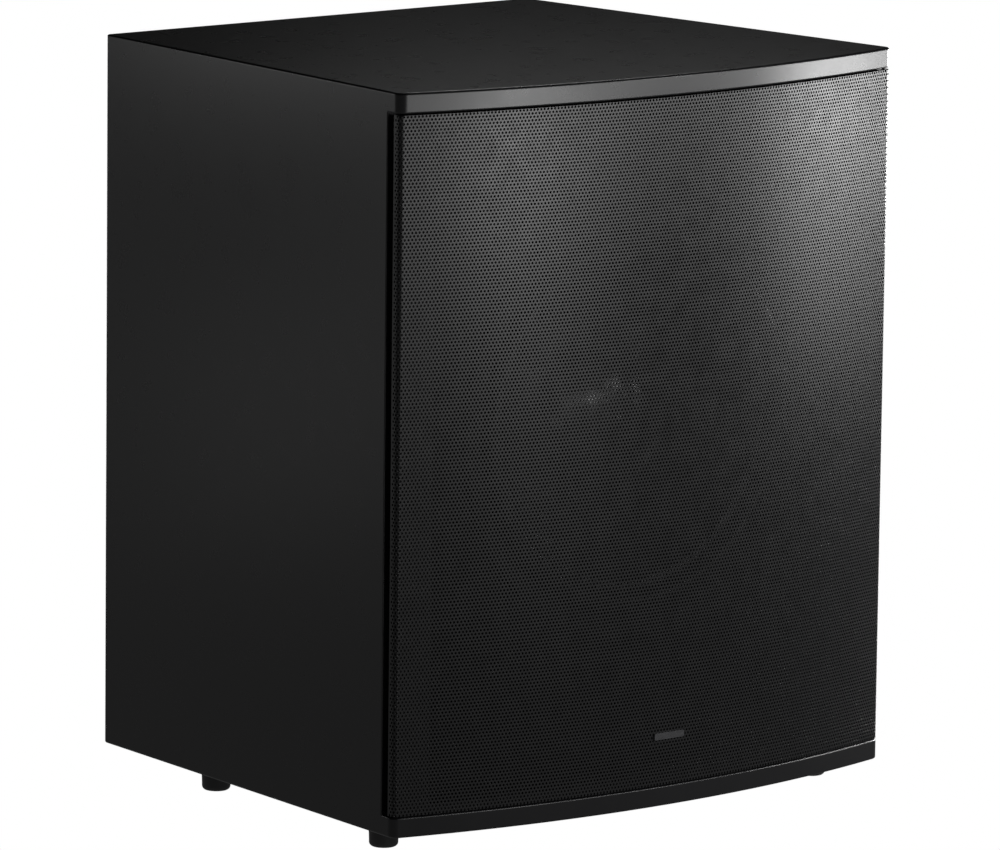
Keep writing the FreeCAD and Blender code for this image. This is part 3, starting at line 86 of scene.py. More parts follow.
# ---- materials -------------------------------------------------------------------------------------------
class Surface:
    """A Principled material built up from procedural layers."""

    def __init__(self, name, colour, roughness, **settings):
        self.material = bpy.data.materials.new(name)
        self.material.use_nodes = True
        self.tree = self.material.node_tree
        self.shader = self.tree.nodes["Principled BSDF"]
        self.shader.inputs["Base Color"].default_value = (*colour, 1.0)
        self.shader.inputs["Roughness"].default_value = roughness
        for label, value in settings.items():
            self.shader.inputs[label.replace("_", " ")].default_value = value
        self.places = self.node("ShaderNodeTexCoord").outputs["Object"]

    def node(self, kind, **values):
        made = self.tree.nodes.new(kind)
        for key, value in values.items():
            setattr(made, key, value)
        return made

    def link(self, source, target):
        self.tree.links.new(source, target)

    def stretched(self, scale):
        """Object coordinates stretched by a factor for each axis."""
        mapping = self.node("ShaderNodeMapping")
        mapping.inputs["Scale"].default_value = scale
        self.link(self.places, mapping.inputs["Vector"])
        return mapping.outputs["Vector"]

    def noise(self, scale, detail=3.0, rough=0.55, stretch=None):
        made = self.node("ShaderNodeTexNoise")
        made.inputs["Scale"].default_value = scale
        made.inputs["Detail"].default_value = detail
        made.inputs["Roughness"].default_value = rough
        self.link(self.stretched(stretch) if stretch else self.places, made.inputs["Vector"])
        return made.outputs["Fac"]

    def cells(self, scale, feature="F1", stretch=None):
        made = self.node("ShaderNodeTexVoronoi", feature=feature)
        made.inputs["Scale"].default_value = scale
        self.link(self.stretched(stretch) if stretch else self.places, made.inputs["Vector"])
        return made.outputs["Distance"]

    def mapped(self, value, low, high, source=(0.3, 0.7)):
        made = self.node("ShaderNodeMapRange")
        self.link(value, made.inputs["Value"])
        for label, number in zip(("From Min", "From Max", "To Min", "To Max"), (*source, low, high)):
            made.inputs[label].default_value = number
        return made.outputs["Result"]

    def roughness(self, value, low, high, source=(0.3, 0.7)):
        self.link(self.mapped(value, low, high, source), self.shader.inputs["Roughness"])
        return self

    def colour(self, value, dark, light, source=(0.3, 0.7)):
        ramp = self.node("ShaderNodeValToRGB")
        ramp.color_ramp.elements[0].position, ramp.color_ramp.elements[1].position = source
        ramp.color_ramp.elements[0].color = (*dark, 1.0)
        ramp.color_ramp.elements[1].color = (*light, 1.0)
        self.link(value, ramp.inputs["Fac"])
        self.link(ramp.outputs["Color"], self.shader.inputs["Base Color"])
        return self

    def bump(self, value, strength, depth):
        """Adds a bump layer `depth` metres deep over the layers made before."""
        made = self.node("ShaderNodeBump")
        made.inputs["Strength"].default_value = strength
        made.inputs["Distance"].default_value = depth
        self.link(value, made.inputs["Height"])
        before = self.shader.inputs["Normal"].links
        if before:
            self.link(before[0].from_socket, made.inputs["Normal"])
        self.link(made.outputs["Normal"], self.shader.inputs["Normal"])
        return self


def cabinet_paint():
    """Satin black paint with a fine pebbled texture."""
    s = Surface("cabinet_paint", (0.011, 0.011, 0.012), 0.28, Specular_IOR_Level=0.5)
    s.bump(s.noise(700.0, 2.0, 0.5), 0.16, 0.00003)
    s.roughness(s.noise(40.0, 3.0), 0.27, 0.29)
    return s.colour(s.noise(6.0, 5.0), (0.010, 0.010, 0.011), (0.013, 0.013, 0.014)).material


def grille_paint():
    """Satin powder coat on steel."""
    s = Surface("grille_paint", (0.013, 0.013, 0.0135), 0.30, Specular_IOR_Level=0.5)
    s.bump(s.noise(1400.0, 2.0, 0.5), 0.08, 0.00002)
    return s.roughness(s.noise(60.0, 3.0), 0.28, 0.33).material


def moulded(name, colour, roughness, grain=900.0, depth=0.00004, **settings):
    """Moulded plastic or rubber with a fine grain and faint flow shading."""
    s = Surface(name, colour, roughness, **settings)
    s.bump(s.noise(grain, 3.0), 0.35, depth)
    s.roughness(s.noise(40.0, 3.0), roughness * 0.88, min(1.0, roughness * 1.14))
    light = tuple(min(1.0, c * 1.22 + 0.002) for c in colour)
    return s.colour(s.noise(22.0, 4.0), tuple(c * 0.86 for c in colour), light).material


def metal(name, colour, roughness, stretch=(1, 1, 1), scale=260.0, depth=0.00003, **settings):
    """Metal with fine marks, drawn out along one axis where the stretch says so."""
    s = Surface(name, colour, roughness, Metallic=1.0, **settings)
    marks = s.noise(scale, 4.0, 0.6, stretch)
    s.bump(marks, 0.4, depth)
    s.roughness(marks, roughness * 0.75, roughness * 1.3)
    return s.colour(s.noise(30.0, 4.0), tuple(c * 0.82 for c in colour), colour).material


def board():
    """Raw fibre board."""
    s = Surface("board", (0.45, 0.32, 0.20), 0.85)
    s.bump(s.noise(700.0, 5.0, 0.7), 0.6, 0.00015)
    return s.colour(s.noise(160.0, 6.0, 0.7), (0.36, 0.25, 0.15), (0.52, 0.38, 0.25)).material


def felt():
    """Pressed grey felt."""
    s = Surface("felt", (0.5, 0.5, 0.48), 0.95, Sheen_Weight=0.5, Sheen_Roughness=0.5)
    s.bump(s.noise(420.0, 6.0, 0.75), 0.9, 0.0006)
    return s.colour(s.noise(220.0, 6.0, 0.8), (0.30, 0.30, 0.29), (0.66, 0.66, 0.64)).material


def cone_paper():
    """Coated pressed paper with faint fibres."""
    s = Surface("cone_paper", (0.016, 0.016, 0.018), 0.30, Coat_Weight=0.35, Coat_Roughness=0.22)
    s.bump(s.noise(260.0, 6.0, 0.7), 0.5, 0.0001)
    s.roughness(s.noise(90.0, 4.0), 0.28, 0.42)
    return s.colour(s.noise(120.0, 6.0, 0.7), (0.012, 0.012, 0.014), (0.026, 0.026, 0.029)).material


def spider_cloth():
    """Amber resin-dipped cloth."""
    s = Surface("spider_cloth", (0.45, 0.26, 0.07), 0.6)
    weave = s.node("ShaderNodeTexMagic", turbulence_depth=2)
    weave.inputs["Scale"].default_value = 900.0
    s.link(s.places, weave.inputs["Vector"])
    s.bump(weave.outputs["Fac"], 0.6, 0.0002)
    return s.colour(weave.outputs["Fac"], (0.30, 0.16, 0.04), (0.62, 0.40, 0.13)).material


def winding(name, dark, light, stretch, scale):
    """Wound wire or tape: fine bands across one axis."""
    s = Surface(name, light, 0.4)
    waves = s.node("ShaderNodeTexWave", bands_direction="X")
    waves.inputs["Scale"].default_value = scale
    waves.inputs["Distortion"].default_value = 0.6
    s.link(s.stretched(stretch), waves.inputs["Vector"])
    s.bump(waves.outputs["Fac"], 0.8, 0.0002)
    return s.colour(waves.outputs["Fac"], dark, light, (0.2, 0.8)).material


def circuit_board():
    """Green board with a lattice of tracks and tinned pads."""
    s = Surface("circuit_board", (0.02, 0.14, 0.06), 0.35, Coat_Weight=0.4)
    tracks = s.cells(260.0, "DISTANCE_TO_EDGE")
    s.bump(tracks, 0.4, 0.0001)
    return s.colour(tracks, (0.09, 0.30, 0.12), (0.015, 0.12, 0.05), (0.03, 0.07)).material


def clear(name, colour, roughness=0.05):
    """Glass or clear plastic with faint ripples."""
    s = Surface(name, colour, roughness, Transmission_Weight=0.85, IOR=1.5)
    return s.bump(s.noise(300.0, 2.0), 0.1, 0.00002).material


def ferrite():
    """Sintered ceramic magnet."""
    s = Surface("ferrite", (0.035, 0.036, 0.040), 0.6)
    s.bump(s.noise(500.0, 5.0, 0.7), 0.6, 0.00012)
    return s.colour(s.noise(90.0, 6.0, 0.7), (0.022, 0.022, 0.025), (0.055, 0.056, 0.06)).material


aim_camera()

LOOKS = {
    "cabinet_paint": cabinet_paint(),
    "grille_paint": grille_paint(),
    "board": board(),
    "felt": felt(),
    "foot_rubber": moulded("foot_rubber", (0.035, 0.035, 0.036), 0.45, 700.0),
    "trim_rubber": moulded("trim_rubber", (0.012, 0.012, 0.013), 0.55, 800.0),
    "roll_rubber": moulded("roll_rubber", (0.012, 0.012, 0.013), 0.34, 600.0),
    "foam": moulded("foam", (0.02, 0.02, 0.02), 0.9, 500.0, 0.0003),
    "matte_plastic": moulded("matte_plastic", (0.013, 0.013, 0.014), 0.55),
    "gloss_plastic": moulded("gloss_plastic", (0.012, 0.012, 0.013), 0.22, 1200.0, 0.00001),
    "cone_paper": cone_paper(),
    "cap_gloss": moulded("cap_gloss", (0.014, 0.014, 0.015), 0.16, 300.0, 0.00002,
                         Coat_Weight=0.6, Coat_Roughness=0.1),
    "basket": moulded("basket", (0.02, 0.02, 0.022), 0.42, 500.0, 0.00012),
    "spider_cloth": spider_cloth(),
    "ferrite": ferrite(),
    "steel": metal("steel", (0.56, 0.56, 0.57), 0.32),
    "zinc": metal("zinc", (0.62, 0.62, 0.60), 0.36, scale=120.0),
    "black_oxide": metal("black_oxide", (0.045, 0.045, 0.048), 0.38),
    "badge_metal": metal("badge_metal", (0.13, 0.13, 0.135), 0.42, (1, 1, 30)),
    "former": metal("former", (0.7, 0.7, 0.71), 0.3),
    "copper": winding("copper", (0.25, 0.09, 0.03), (0.75, 0.35, 0.16), (0, 1, 0), 700.0),
    "toroid": winding("toroid", (0.42, 0.30, 0.05), (0.72, 0.56, 0.14), (1, 0, 1), 90.0),
    "board_green": circuit_board(),
    "gold": metal("gold", (0.83, 0.62, 0.25), 0.2),
    "nickel": metal("nickel", (0.66, 0.63, 0.57), 0.22),
    "braid": metal("braid", (0.66, 0.36, 0.18), 0.35, scale=900.0, depth=0.0002),
    "red_sleeve": moulded("red_sleeve", (0.35, 0.015, 0.012), 0.45),
    "anodised": metal("anodised", (0.035, 0.035, 0.038), 0.36, (1, 1, 0.1), 500.0),
    "plate_paint": moulded("plate_paint", (0.016, 0.016, 0.017), 0.45, 1300.0, 0.00008),
    "lamp": clear("lamp", (0.05, 0.25, 0.85), 0.12),
    "fuse_glass": clear("fuse_glass", (0.9, 0.92, 0.92)),
    "white_print": moulded("white_print", (0.75, 0.75, 0.74), 0.5),
}

NODE_LOOKS = {
    "cabinet_paint": ("top_panel", "bottom_panel", "left_side_panel", "right_side_panel", "rear_panel",
                      "front_baffle"),
    "board": ("window_brace", "corner_battens"),
    "felt": ("damping_lining",),
    "foot_rubber": ("rubber_feet",),
    "zinc": ("foot_screws", "amplifier_can", "potentiometers", "release_tab"),
    "matte_plastic": ("grille_top_rib", "grille_bottom_rib", "grille_side_posts", "grille_studs",
                      "grille_sockets", "terminal_block", "slide_switch_bodies", "balanced_shell",
                      "balanced_insert", "level_knob", "crossover_knob"),
    "gloss_plastic": ("filter_capacitors", "phase_slider", "mode_slider", "mains_inlet", "fuse_drawer",
                      "rocker_bezel", "power_rocker"),
    "badge_metal": ("badge",),
    "basket": ("driver_basket",),
    "trim_rubber": ("front_gasket", "magnet_boot"),
    "roll_rubber": ("surround",),
    "black_oxide": ("driver_screws", "plate_screws"),
    "cone_paper": ("cone",),
    "cap_gloss": ("dust_cap",),
    "former": ("coil_former",),
    "copper": ("coil_winding",),
    "spider_cloth": ("spider",),
    "steel": ("top_plate", "pole_and_back_plate", "level_shaft", "crossover_shaft"),
    "ferrite": ("ring_magnet",),
    "braid": ("tinsel_leads",),
    "red_sleeve": ("speaker_leads",),
    "foam": ("foam_seals",),
    "plate_paint": ("amplifier_plate",),
    "anodised": ("heat_sink",),
    "board_green": ("circuit_board",),
    "toroid": ("power_transformer",),
    "gold": ("phono_inputs",),
    "nickel": ("inlet_blades",),
    "fuse_glass": ("fuse",),
}


def wear(look, thing):
    thing.data.materials.clear()
    thing.data.materials.append(LOOKS[look])


for look, names in NODE_LOOKS.items():
    for name in names:
        wear(look, nodes[name])


# ---- meshes ----------------------------------------------------------------------------------------------
def add_mesh(name, corners, faces, look, smooth_angle=None):
    """A new piece from (n, 3) corners and an array or list of faces."""
    mesh = bpy.data.meshes.new(name)
    counts = np.array([len(f) for f in faces], np.int32)
    loops = np.concatenate([np.asarray(f, np.int32) for f in faces]) if len(faces) else np.zeros(0, np.int32)
    fill_mesh(mesh, np.asarray(corners, float), loops, counts, smooth_angle)
    return add_piece(name, mesh, look)


def fill_mesh(mesh, corners, loops, counts, smooth_angle):
    """Fills a mesh from corners, the faces' corner numbers in one row and each face's number of corners."""
    used, loops = np.unique(loops, return_inverse=True)
    corners = corners[used]
    mesh.vertices.add(len(corners))
    mesh.vertices.foreach_set("co", corners.astype(np.float32).ravel())
    mesh.loops.add(len(loops))
    mesh.loops.foreach_set("vertex_index", loops.astype(np.int32))
    mesh.polygons.add(len(counts))
    starts = np.concatenate(([0], np.cumsum(counts)[:-1])).astype(np.int32)
    mesh.polygons.foreach_set("loop_start", starts)
    mesh.update(calc_edges=True)
    if smooth_angle is not None:
        mesh.polygons.foreach_set("use_smooth", np.ones(len(counts), bool))
        mesh.set_sharp_from_angle(angle=smooth_angle)


def add_piece(name, mesh, look):
    piece = bpy.data.objects.new(name, mesh)
    bpy.context.collection.objects.link(piece)
    mesh.materials.append(LOOKS[look])
    return piece


# ---- the grille's sheet ----------------------------------------------------------------------------------
PITCH = 3.5 * MM
ROW = PITCH * math.sqrt(3) / 2
HOLE_R = 1.0 * MM
SHEET_T = 1.2 * MM
HOLE_SIDES = 12
RIM_W, RIM_DEPTH = 0.15 * MM, 0.16 * MM       # the rounded edge that the paint leaves round each hole
EDGE_TO_HOLE = 1.25 * MM      # from the sheet's top edge to the first row of holes
TOP_MARGIN = 0.08 * MM        # the least steel between a hole and the sheet's top or bottom edge
END_MARGIN = 2.2 * MM         # between the last holes' centres and the sheet's ends
STRIPS = 16
SMALLEST_SIDE = 0.01 * MM     # triangles with less than this side's square for their area are left out
WELD = 0.05 * MM              # corners of neighbouring cells closer than this are one
BOW_R = 1.09314               # of the lips' front edges
BOW_RISE = 0.037              # how far the bow stands ahead of the cabinet's front corners
SHEET_SETBACK = 0.001         # behind the lips' front edges
HALF_WIDTH = 0.282            # of the cabinet, at its front corners
TAPER = math.atan(37.5 / 469.0)       # of each side panel
SIDE_SETBACK = 0.0015         # inside the cabinet's sides
SHEET_CORNER_R = 4.0 * MM


class SheetPath:
    """The sheet's outer face seen from above: a wide arc, two tight corners and two short side returns."""

    def __init__(self, low, high):
        self.bow_r = BOW_R - SHEET_SETBACK
        y_corner = low.y + BOW_RISE - SHEET_SETBACK
        self.centre_y = y_corner - BOW_RISE + BOW_R
        self.corner_r = SHEET_CORNER_R
        side_x = HALF_WIDTH - SIDE_SETBACK / math.cos(TAPER)
        out = Vector((math.cos(TAPER), math.sin(TAPER)))
        reach = Vector((side_x, y_corner)).dot(out) - self.corner_r
        centre = Vector((0, self.centre_y))
        along = reach - centre.dot(out)
        across = math.sqrt((self.bow_r - self.corner_r) ** 2 - along ** 2)
        self.corner = centre + out * along + Vector((out.y, -out.x)) * across
        self.bow_angle = math.atan2(self.corner.x, self.centre_y - self.corner.y)
        self.side_angle = math.pi / 2 + TAPER
        self.l1 = self.bow_r * self.bow_angle
        self.l2 = self.corner_r * (self.side_angle - self.bow_angle)
        turn_end = self.corner + self.corner_r * out
        self.l3 = (high.y - turn_end.y) / math.cos(TAPER)
        self.length = self.l1 + self.l2 + self.l3

    def at(self, s, inset):
        """Points `inset` inside the outer face, at distances s along it from the middle."""
        side, t = np.sign(s), np.abs(s)
        on_bow, on_corner = t <= self.l1, (t > self.l1) & (t <= self.l1 + self.l2)
        angle = np.where(on_bow, t / self.bow_r, self.bow_angle + (t - self.l1) / self.corner_r)
        angle = np.minimum(angle, self.side_angle)
        normal = np.stack((np.sin(angle), -np.cos(angle)), axis=1)
        radius = np.where(on_bow, self.bow_r, self.corner_r) - inset
        centre = np.where(on_bow[:, None], (0.0, self.centre_y), tuple(self.corner))
        straight = np.where(on_bow | on_corner, 0.0, t - self.l1 - self.l2)
        along = np.array((math.cos(self.side_angle), math.sin(self.side_angle)))
        place = centre + normal * radius[:, None] + straight[:, None] * along
        return place[:, 0] * np.where(side == 0, 1, side), place[:, 1]


def strip_cells(first, last, z_top, z_low, half_length):
    """Lattice cells of the columns from first to last: (centres, whether each has a hole)."""
    rows = int((z_top - EDGE_TO_HOLE - z_low) / ROW) + 2
    centres = []
    for row in range(-1, rows + 1):
        z = z_top - EDGE_TO_HOLE - row * ROW
        shift = 0.5 if row % 2 else 0.0
        centres += [((column + shift) * PITCH, z) for column in range(first, last)]
    centres = np.array(centres)
    margin = HOLE_R + TOP_MARGIN
    inside = (centres[:, 1] < z_top - margin) & (centres[:, 1] > z_low + margin)
    return centres, inside & (np.abs(centres[:, 0]) < half_length - END_MARGIN)


def strip_triangles(centres, holed):
    """The strip laid flat: its points, the hole centre that each rim point belongs to, and its triangles."""
    corner_angles = np.radians(30 + 60 * np.arange(6))
    ring = np.stack((np.cos(corner_angles), np.sin(corner_angles)), axis=1) * PITCH / math.sqrt(3)
    corners = (centres[:, None, :] + ring[None]).reshape(-1, 2)
    keys = np.round(corners / WELD).astype(np.int64)
    _, kept, welded = np.unique(keys, axis=0, return_index=True, return_inverse=True)
    cell = welded.reshape(-1, 6)
    hole_angles = np.radians(360.0 / HOLE_SIDES * np.arange(HOLE_SIDES))
    hole_ring = np.stack((np.cos(hole_angles), np.sin(hole_angles)), axis=1)
    rims = centres[holed][:, None, :] + hole_ring[None] * (HOLE_R + RIM_W)
    base = len(kept)
    rim = base + np.arange(rims.shape[0] * HOLE_SIDES).reshape(-1, HOLE_SIDES)
    flat = np.concatenate((corners[kept], rims.reshape(-1, 2)))
    owner = np.full((len(flat), 2), np.nan)
    owner[base:] = np.repeat(centres[holed], HOLE_SIDES, axis=0)
    triangles = []
    outer = cell[holed]
    for k in range(6):
        a, b = outer[:, k], outer[:, (k + 1) % 6]
        h0, h1, h2 = (rim[:, (2 * k + i) % HOLE_SIDES] for i in (1, 2, 3))
        triangles += [np.stack(t, axis=1) for t in ((a, b, h1), (a, h1, h0), (b, h2, h1))]
    plain = cell[~holed]
    triangles += [np.stack((plain[:, 0], plain[:, k], plain[:, k + 1]), axis=1) for k in range(1, 5)]
    return flat, owner, np.concatenate(triangles)


def trimmed(flat, owner, triangles, half_length, z_low, z_top):
    """The flat strip cut to the sheet's outline, without the triangles and points that this leaves empty."""
    flat[:, 0] = np.clip(flat[:, 0], -half_length, half_length)
    flat[:, 1] = np.clip(flat[:, 1], z_low, z_top)
    ab = flat[triangles[:, 1]] - flat[triangles[:, 0]]
    ac = flat[triangles[:, 2]] - flat[triangles[:, 0]]
    area = ab[:, 0] * ac[:, 1] - ab[:, 1] * ac[:, 0]
    triangles = triangles[area > SMALLEST_SIDE ** 2]
    used, numbers = np.unique(triangles, return_inverse=True)
    return flat[used], owner[used], numbers.reshape(-1, 3)


def open_edges(triangles):
    """The edges that only one triangle has, in that triangle's direction."""
    edges = np.concatenate([triangles[:, [i, (i + 1) % 3]] for i in range(3)])
    _, back, uses = np.unique(np.sort(edges, axis=1), axis=0, return_inverse=True, return_counts=True)
    return edges[uses[back.ravel()] == 1]


def perforated_strip(name, path, first, last, z_low, z_top):
    """A closed piece of the sheet with every hole cut through."""
    centres, holed = strip_cells(first, last, z_top, z_low, path.length)
    flat, owner, triangles = trimmed(*strip_triangles(centres, holed), path.length, z_low, z_top)
    rim_edges = open_edges(triangles)
    count = len(flat)
    # the back is the front drawn in to each hole's own radius, and so is a ring just inside each front rim
    shrunk = np.where(np.isnan(owner), flat, owner + (flat - owner) * HOLE_R / (HOLE_R + RIM_W))
    depths = np.where(np.isnan(owner[:, 0]), 0.0, RIM_DEPTH)
    layers = ((flat, 0.0), (shrunk, depths), (shrunk, SHEET_T))
    coordinates = []
    for points, depth in layers:
        x, y = path.at(points[:, 0], depth)
        coordinates.append(np.stack((x, y, points[:, 1]), axis=1))
    round_hole = ~np.isnan(owner[rim_edges[:, 0], 0])
    a, b = rim_edges[:, 0], rim_edges[:, 1]
    c, d = a[round_hole], b[round_hole]
    walls = np.concatenate((np.stack((b, a, a + 2 * count, b + 2 * count), axis=1)[~round_hole],
                            np.stack((d, c, c + count, d + count), axis=1),
                            np.stack((d + count, c + count, c + 2 * count, d + 2 * count), axis=1)))
    loops = np.concatenate((triangles.ravel(), (triangles[:, ::-1] + 2 * count).ravel(), walls.ravel()))
    counts = np.concatenate((np.full(2 * len(triangles), 3), np.full(len(walls), 4)))
    mesh = bpy.data.meshes.new(name)
    fill_mesh(mesh, np.concatenate(coordinates), loops, counts, math.radians(40))
    return add_piece(name, mesh, "grille_paint")


def perforated_grille():
    """The whole sheet, in strips side by side."""
    low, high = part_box("perforated_grille")
    path = SheetPath(low, high)
    columns = int(path.length / PITCH) + 3
    bounds = np.linspace(-columns, columns, STRIPS + 1).astype(int)
    for number in range(STRIPS):
        first, last = int(bounds[number]), int(bounds[number + 1])
        piece = perforated_strip(f"grille_sheet_{number + 1}", path, first, last, low.z, high.z)
        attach(piece, "grille")
        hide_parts("perforated_grille")


perforated_grille()


# ---- turned and drawn pieces -----------------------------------------------------------------------------
driver_low, driver_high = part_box("ring_magnet")
AXIS_Z = (driver_low.z + driver_high.z) / 2
BAFFLE_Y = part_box("front_baffle")[0].y
# The driver's sizes from here on are millimetres: radii, and depths behind the baffle's face.
ROLL_MIDDLE = (163.0, -1.6)   # radius and depth of the half roll's middle
ROLL_R = 11.0
ROLL_BACK_R = 9.7
ROLL_INNER, ROLL_OUTER = 144.0, 180.0         # the surround's whole width
ROLL_STILL, ROLL_MOVING = 174.0, 152.0        # the weight is 0 outside the first and 1 inside the second
SPIDER_INNER, SPIDER_OUTER = 38.35, 110.5
SPIDER_WAVES_FROM, SPIDER_WAVES_TO = 45.0, 99.5
SPIDER_DEPTH = 84.0
SPIDER_HALF_T = 0.35
WAVE_LENGTH, WAVE_HEIGHT = 10.4, 2.0
WAVE_EASE = 3.0               # over this width the waves grow from nothing
LEAD_KNOTS = ((67, 57), (76, 58.4), (85, 57), (98, 51), (110, 48), (121, 50), (128, 57), (128, 63), (126, 70),
              (126, 82))      # the leads' route
LEAD_LEAN = math.radians(30)  # the leads' place round the axis
LEAD_SIDE = 6.0               # from that place to each lead
LEAD_MOVING, LEAD_STILL = 80.0, 124.0
STRANDS = 3
STRAND_R = 0.55
STRAND_TURN_R = 0.5
STRAND_SWAY = 0.35
TWIST = 9.0                   # radians between two knots


def revolved(name, outline, look, segments=240, smooth_angle=0.7, axis=(0.0, AXIS_Z), face=BAFFLE_Y):
    """A closed outline of (radius, depth behind a face) in mm, turned about an axis across that face."""
    outline = np.asarray(outline, float) * MM
    angles = np.linspace(0, 2 * math.pi, segments, endpoint=False)
    x = np.outer(np.cos(angles), outline[:, 0]) + axis[0]
    z = np.outer(np.sin(angles), outline[:, 0]) + axis[1]
    y = np.broadcast_to(outline[:, 1] + face, x.shape)
    count = len(outline)
    index = np.arange(segments * count).reshape(segments, count)
    turned, along = np.roll(index, -1, axis=0), np.roll(index, -1, axis=1)
    both = np.roll(turned, -1, axis=1)
    faces = np.stack((index, turned, both, along), axis=2).reshape(-1, 4)
    corners = np.stack((x, y, z), axis=2).reshape(-1, 3)
    edge = np.roll(outline, -1, axis=0)
    if (outline[:, 0] * edge[:, 1] - edge[:, 0] * outline[:, 1]).sum() > 0:
        faces = faces[:, ::-1]
    mesh = bpy.data.meshes.new(name)
    fill_mesh(mesh, corners, faces.ravel(), np.full(len(faces), 4), smooth_angle)
    return add_piece(name, mesh, look)


def swept(name, paths, radius, look, sides=8):
    """Round strands along polylines of points in metres."""
    corners, faces = [], []
    for path in paths:
        path = np.asarray(path, float)
        ahead = np.gradient(path, axis=0)
        ahead /= np.linalg.norm(ahead, axis=1)[:, None]
        across = np.cross(ahead, (0.31, 0.17, 0.93))
        across /= np.linalg.norm(across, axis=1)[:, None]
        other = np.cross(ahead, across)
        turn = np.linspace(0, 2 * math.pi, sides, endpoint=False)
        rings = (path[:, None] + radius * (across[:, None] * np.cos(turn)[None, :, None]
                                           + other[:, None] * np.sin(turn)[None, :, None]))
        base = sum(len(c) for c in corners)
        corners.append(rings.reshape(-1, 3))
        index = base + np.arange(len(path) * sides).reshape(len(path), sides)
        a, b = index[:-1], index[1:]
        quads = np.stack((a, np.roll(a, -1, axis=1), np.roll(b, -1, axis=1), b), axis=2)
        faces += quads.reshape(-1, 4).tolist() + [index[0, ::-1].tolist(), index[-1].tolist()]
    return add_mesh(name, np.concatenate(corners), faces, look, 1.0)


def flexes(piece, weights):
    """Bakes the piece's placement into its mesh and works out a weight for each point, 0 where it would
    follow the cabinet and 1 where it would follow the cone; the weights are not kept.
    """
    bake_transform(piece)
    weights(piece).astype(np.float32)


def radii(piece):
    places = np.array([vertex.co for vertex in piece.data.vertices])
    return np.hypot(places[:, 0], places[:, 2] - AXIS_Z) / MM


def eased(value, low, high):
    """1 at low, 0 at high and a smooth change between them."""
    t = np.clip((value - low) / (high - low), 0, 1)
    return 1 - t * t * (3 - 2 * t)


def arc(centre, radius, start, end, steps):
    return [(centre[0] + radius * math.cos(a), centre[1] + radius * math.sin(a))
            for a in np.linspace(math.radians(start), math.radians(end), steps)]


def surround():
    """The half roll, with a bead where it meets the cone and a stiffer flange under the trim ring."""
    front = arc(ROLL_MIDDLE, ROLL_R, 180, 360, 40)
    back = arc(ROLL_MIDDLE, ROLL_BACK_R, 360, 180, 40)
    outline = [(ROLL_INNER, -0.3), (ROLL_INNER, -1.2), (144.6, -1.6), (150.6, -1.6), (151.2, -1.9)]
    outline += front + [(174.6, -1.6), (ROLL_OUTER, -1.6), (ROLL_OUTER, -0.3), (173.0, -0.3)]
    outline += back + [(153.0, -0.3)]
    piece = revolved("surround_roll", outline, "roll_rubber", 288)
    flexes(piece, lambda thing: eased(radii(thing), ROLL_MOVING, ROLL_STILL))
    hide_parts("surround")


def spider():
    """The corrugated cloth disc."""
    radius = np.linspace(SPIDER_INNER, SPIDER_OUTER, 145)
    wave = (np.clip((radius - SPIDER_WAVES_FROM) / WAVE_EASE, 0, 1)
            * np.clip((SPIDER_WAVES_TO - radius) / WAVE_EASE, 0, 1))
    depth = SPIDER_DEPTH + WAVE_HEIGHT * wave * np.sin((radius - 45.3) / WAVE_LENGTH * 2 * math.pi)
    front, back = depth - SPIDER_HALF_T, depth[::-1] + SPIDER_HALF_T
    outline = list(zip(radius, front)) + list(zip(radius[::-1], back))
    piece = revolved("spider_disc", outline, "spider_cloth", 240, 1.2)
    flexes(piece, lambda thing: eased(radii(thing), SPIDER_WAVES_FROM, SPIDER_WAVES_TO))
    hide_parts("spider")


def smooth_curve(knots, count):
    """A Catmull-Rom curve through the knots: each point's place in knots, and the points."""
    knots = np.array(knots, float)
    t = np.linspace(0, len(knots) - 1, count)
    low = np.minimum(t.astype(int), len(knots) - 2)
    u = (t - low)[:, None]
    p = np.concatenate((knots[:1], knots, knots[-1:]))
    a, b, c, d = (p[low + i] for i in range(4))
    slope, bend, rest = c - a, 2 * a - 5 * b + 4 * c - d, 3 * b - a - 3 * c + d
    return t, 0.5 * (2 * b + slope * u + bend * u ** 2 + rest * u ** 3)


def tinsel_leads():
    """Two leads, each of three strands twisted together, from behind the cone to the terminals."""
    t, curve = smooth_curve(LEAD_KNOTS, 241)
    sine, cosine = math.sin(LEAD_LEAN), math.cos(LEAD_LEAN)
    strands = []
    for side in (-LEAD_SIDE, LEAD_SIDE):
        for strand in range(STRANDS):
            twist = t * TWIST + strand * 2 * math.pi / STRANDS
            across = side + STRAND_TURN_R * np.cos(twist)
            out, depth = curve[:, 0] + STRAND_SWAY * np.sin(twist), curve[:, 1] + STRAND_SWAY * np.sin(twist)
            strands.append(np.stack((out * cosine - across * sine, depth + BAFFLE_Y / MM,
                                     out * sine + across * cosine + AXIS_Z / MM), axis=1) * MM)
    piece = swept("tinsel_braids", strands, STRAND_R * MM, "braid")
    flexes(piece, lambda thing: eased(radii(thing), LEAD_MOVING, LEAD_STILL))
    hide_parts("tinsel_leads")


surround()
spider()
tinsel_leads()


# ---- the amplifier's printed marks -----------------------------------------------------------------------
plate_low, plate_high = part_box("amplifier_plate")
MARK_T = 0.00008
MARK_GAP = 0.00001            # between the plate and the print
STROKE_W = 0.0006
DIAL_STEPS = 11
DIAL_FROM, DIAL_STEP = -150, 30               # degrees
DIAL_R = 0.0125               # from the knob's axis to its strokes
LONG_STROKE, SHORT_STROKE = 0.0035, 0.0022
SWITCH_STROKE = 0.0028
SWITCH_TRAVEL = 0.007
SWITCH_UP = 0.0060            # from the slot's middle to its strokes
FRAME_W = 0.0005
FRAME_GAP = 0.006             # from the sockets to the line round them
LENS_PLACE = (-0.092, 0.005)  # x, and height over the plate's middle


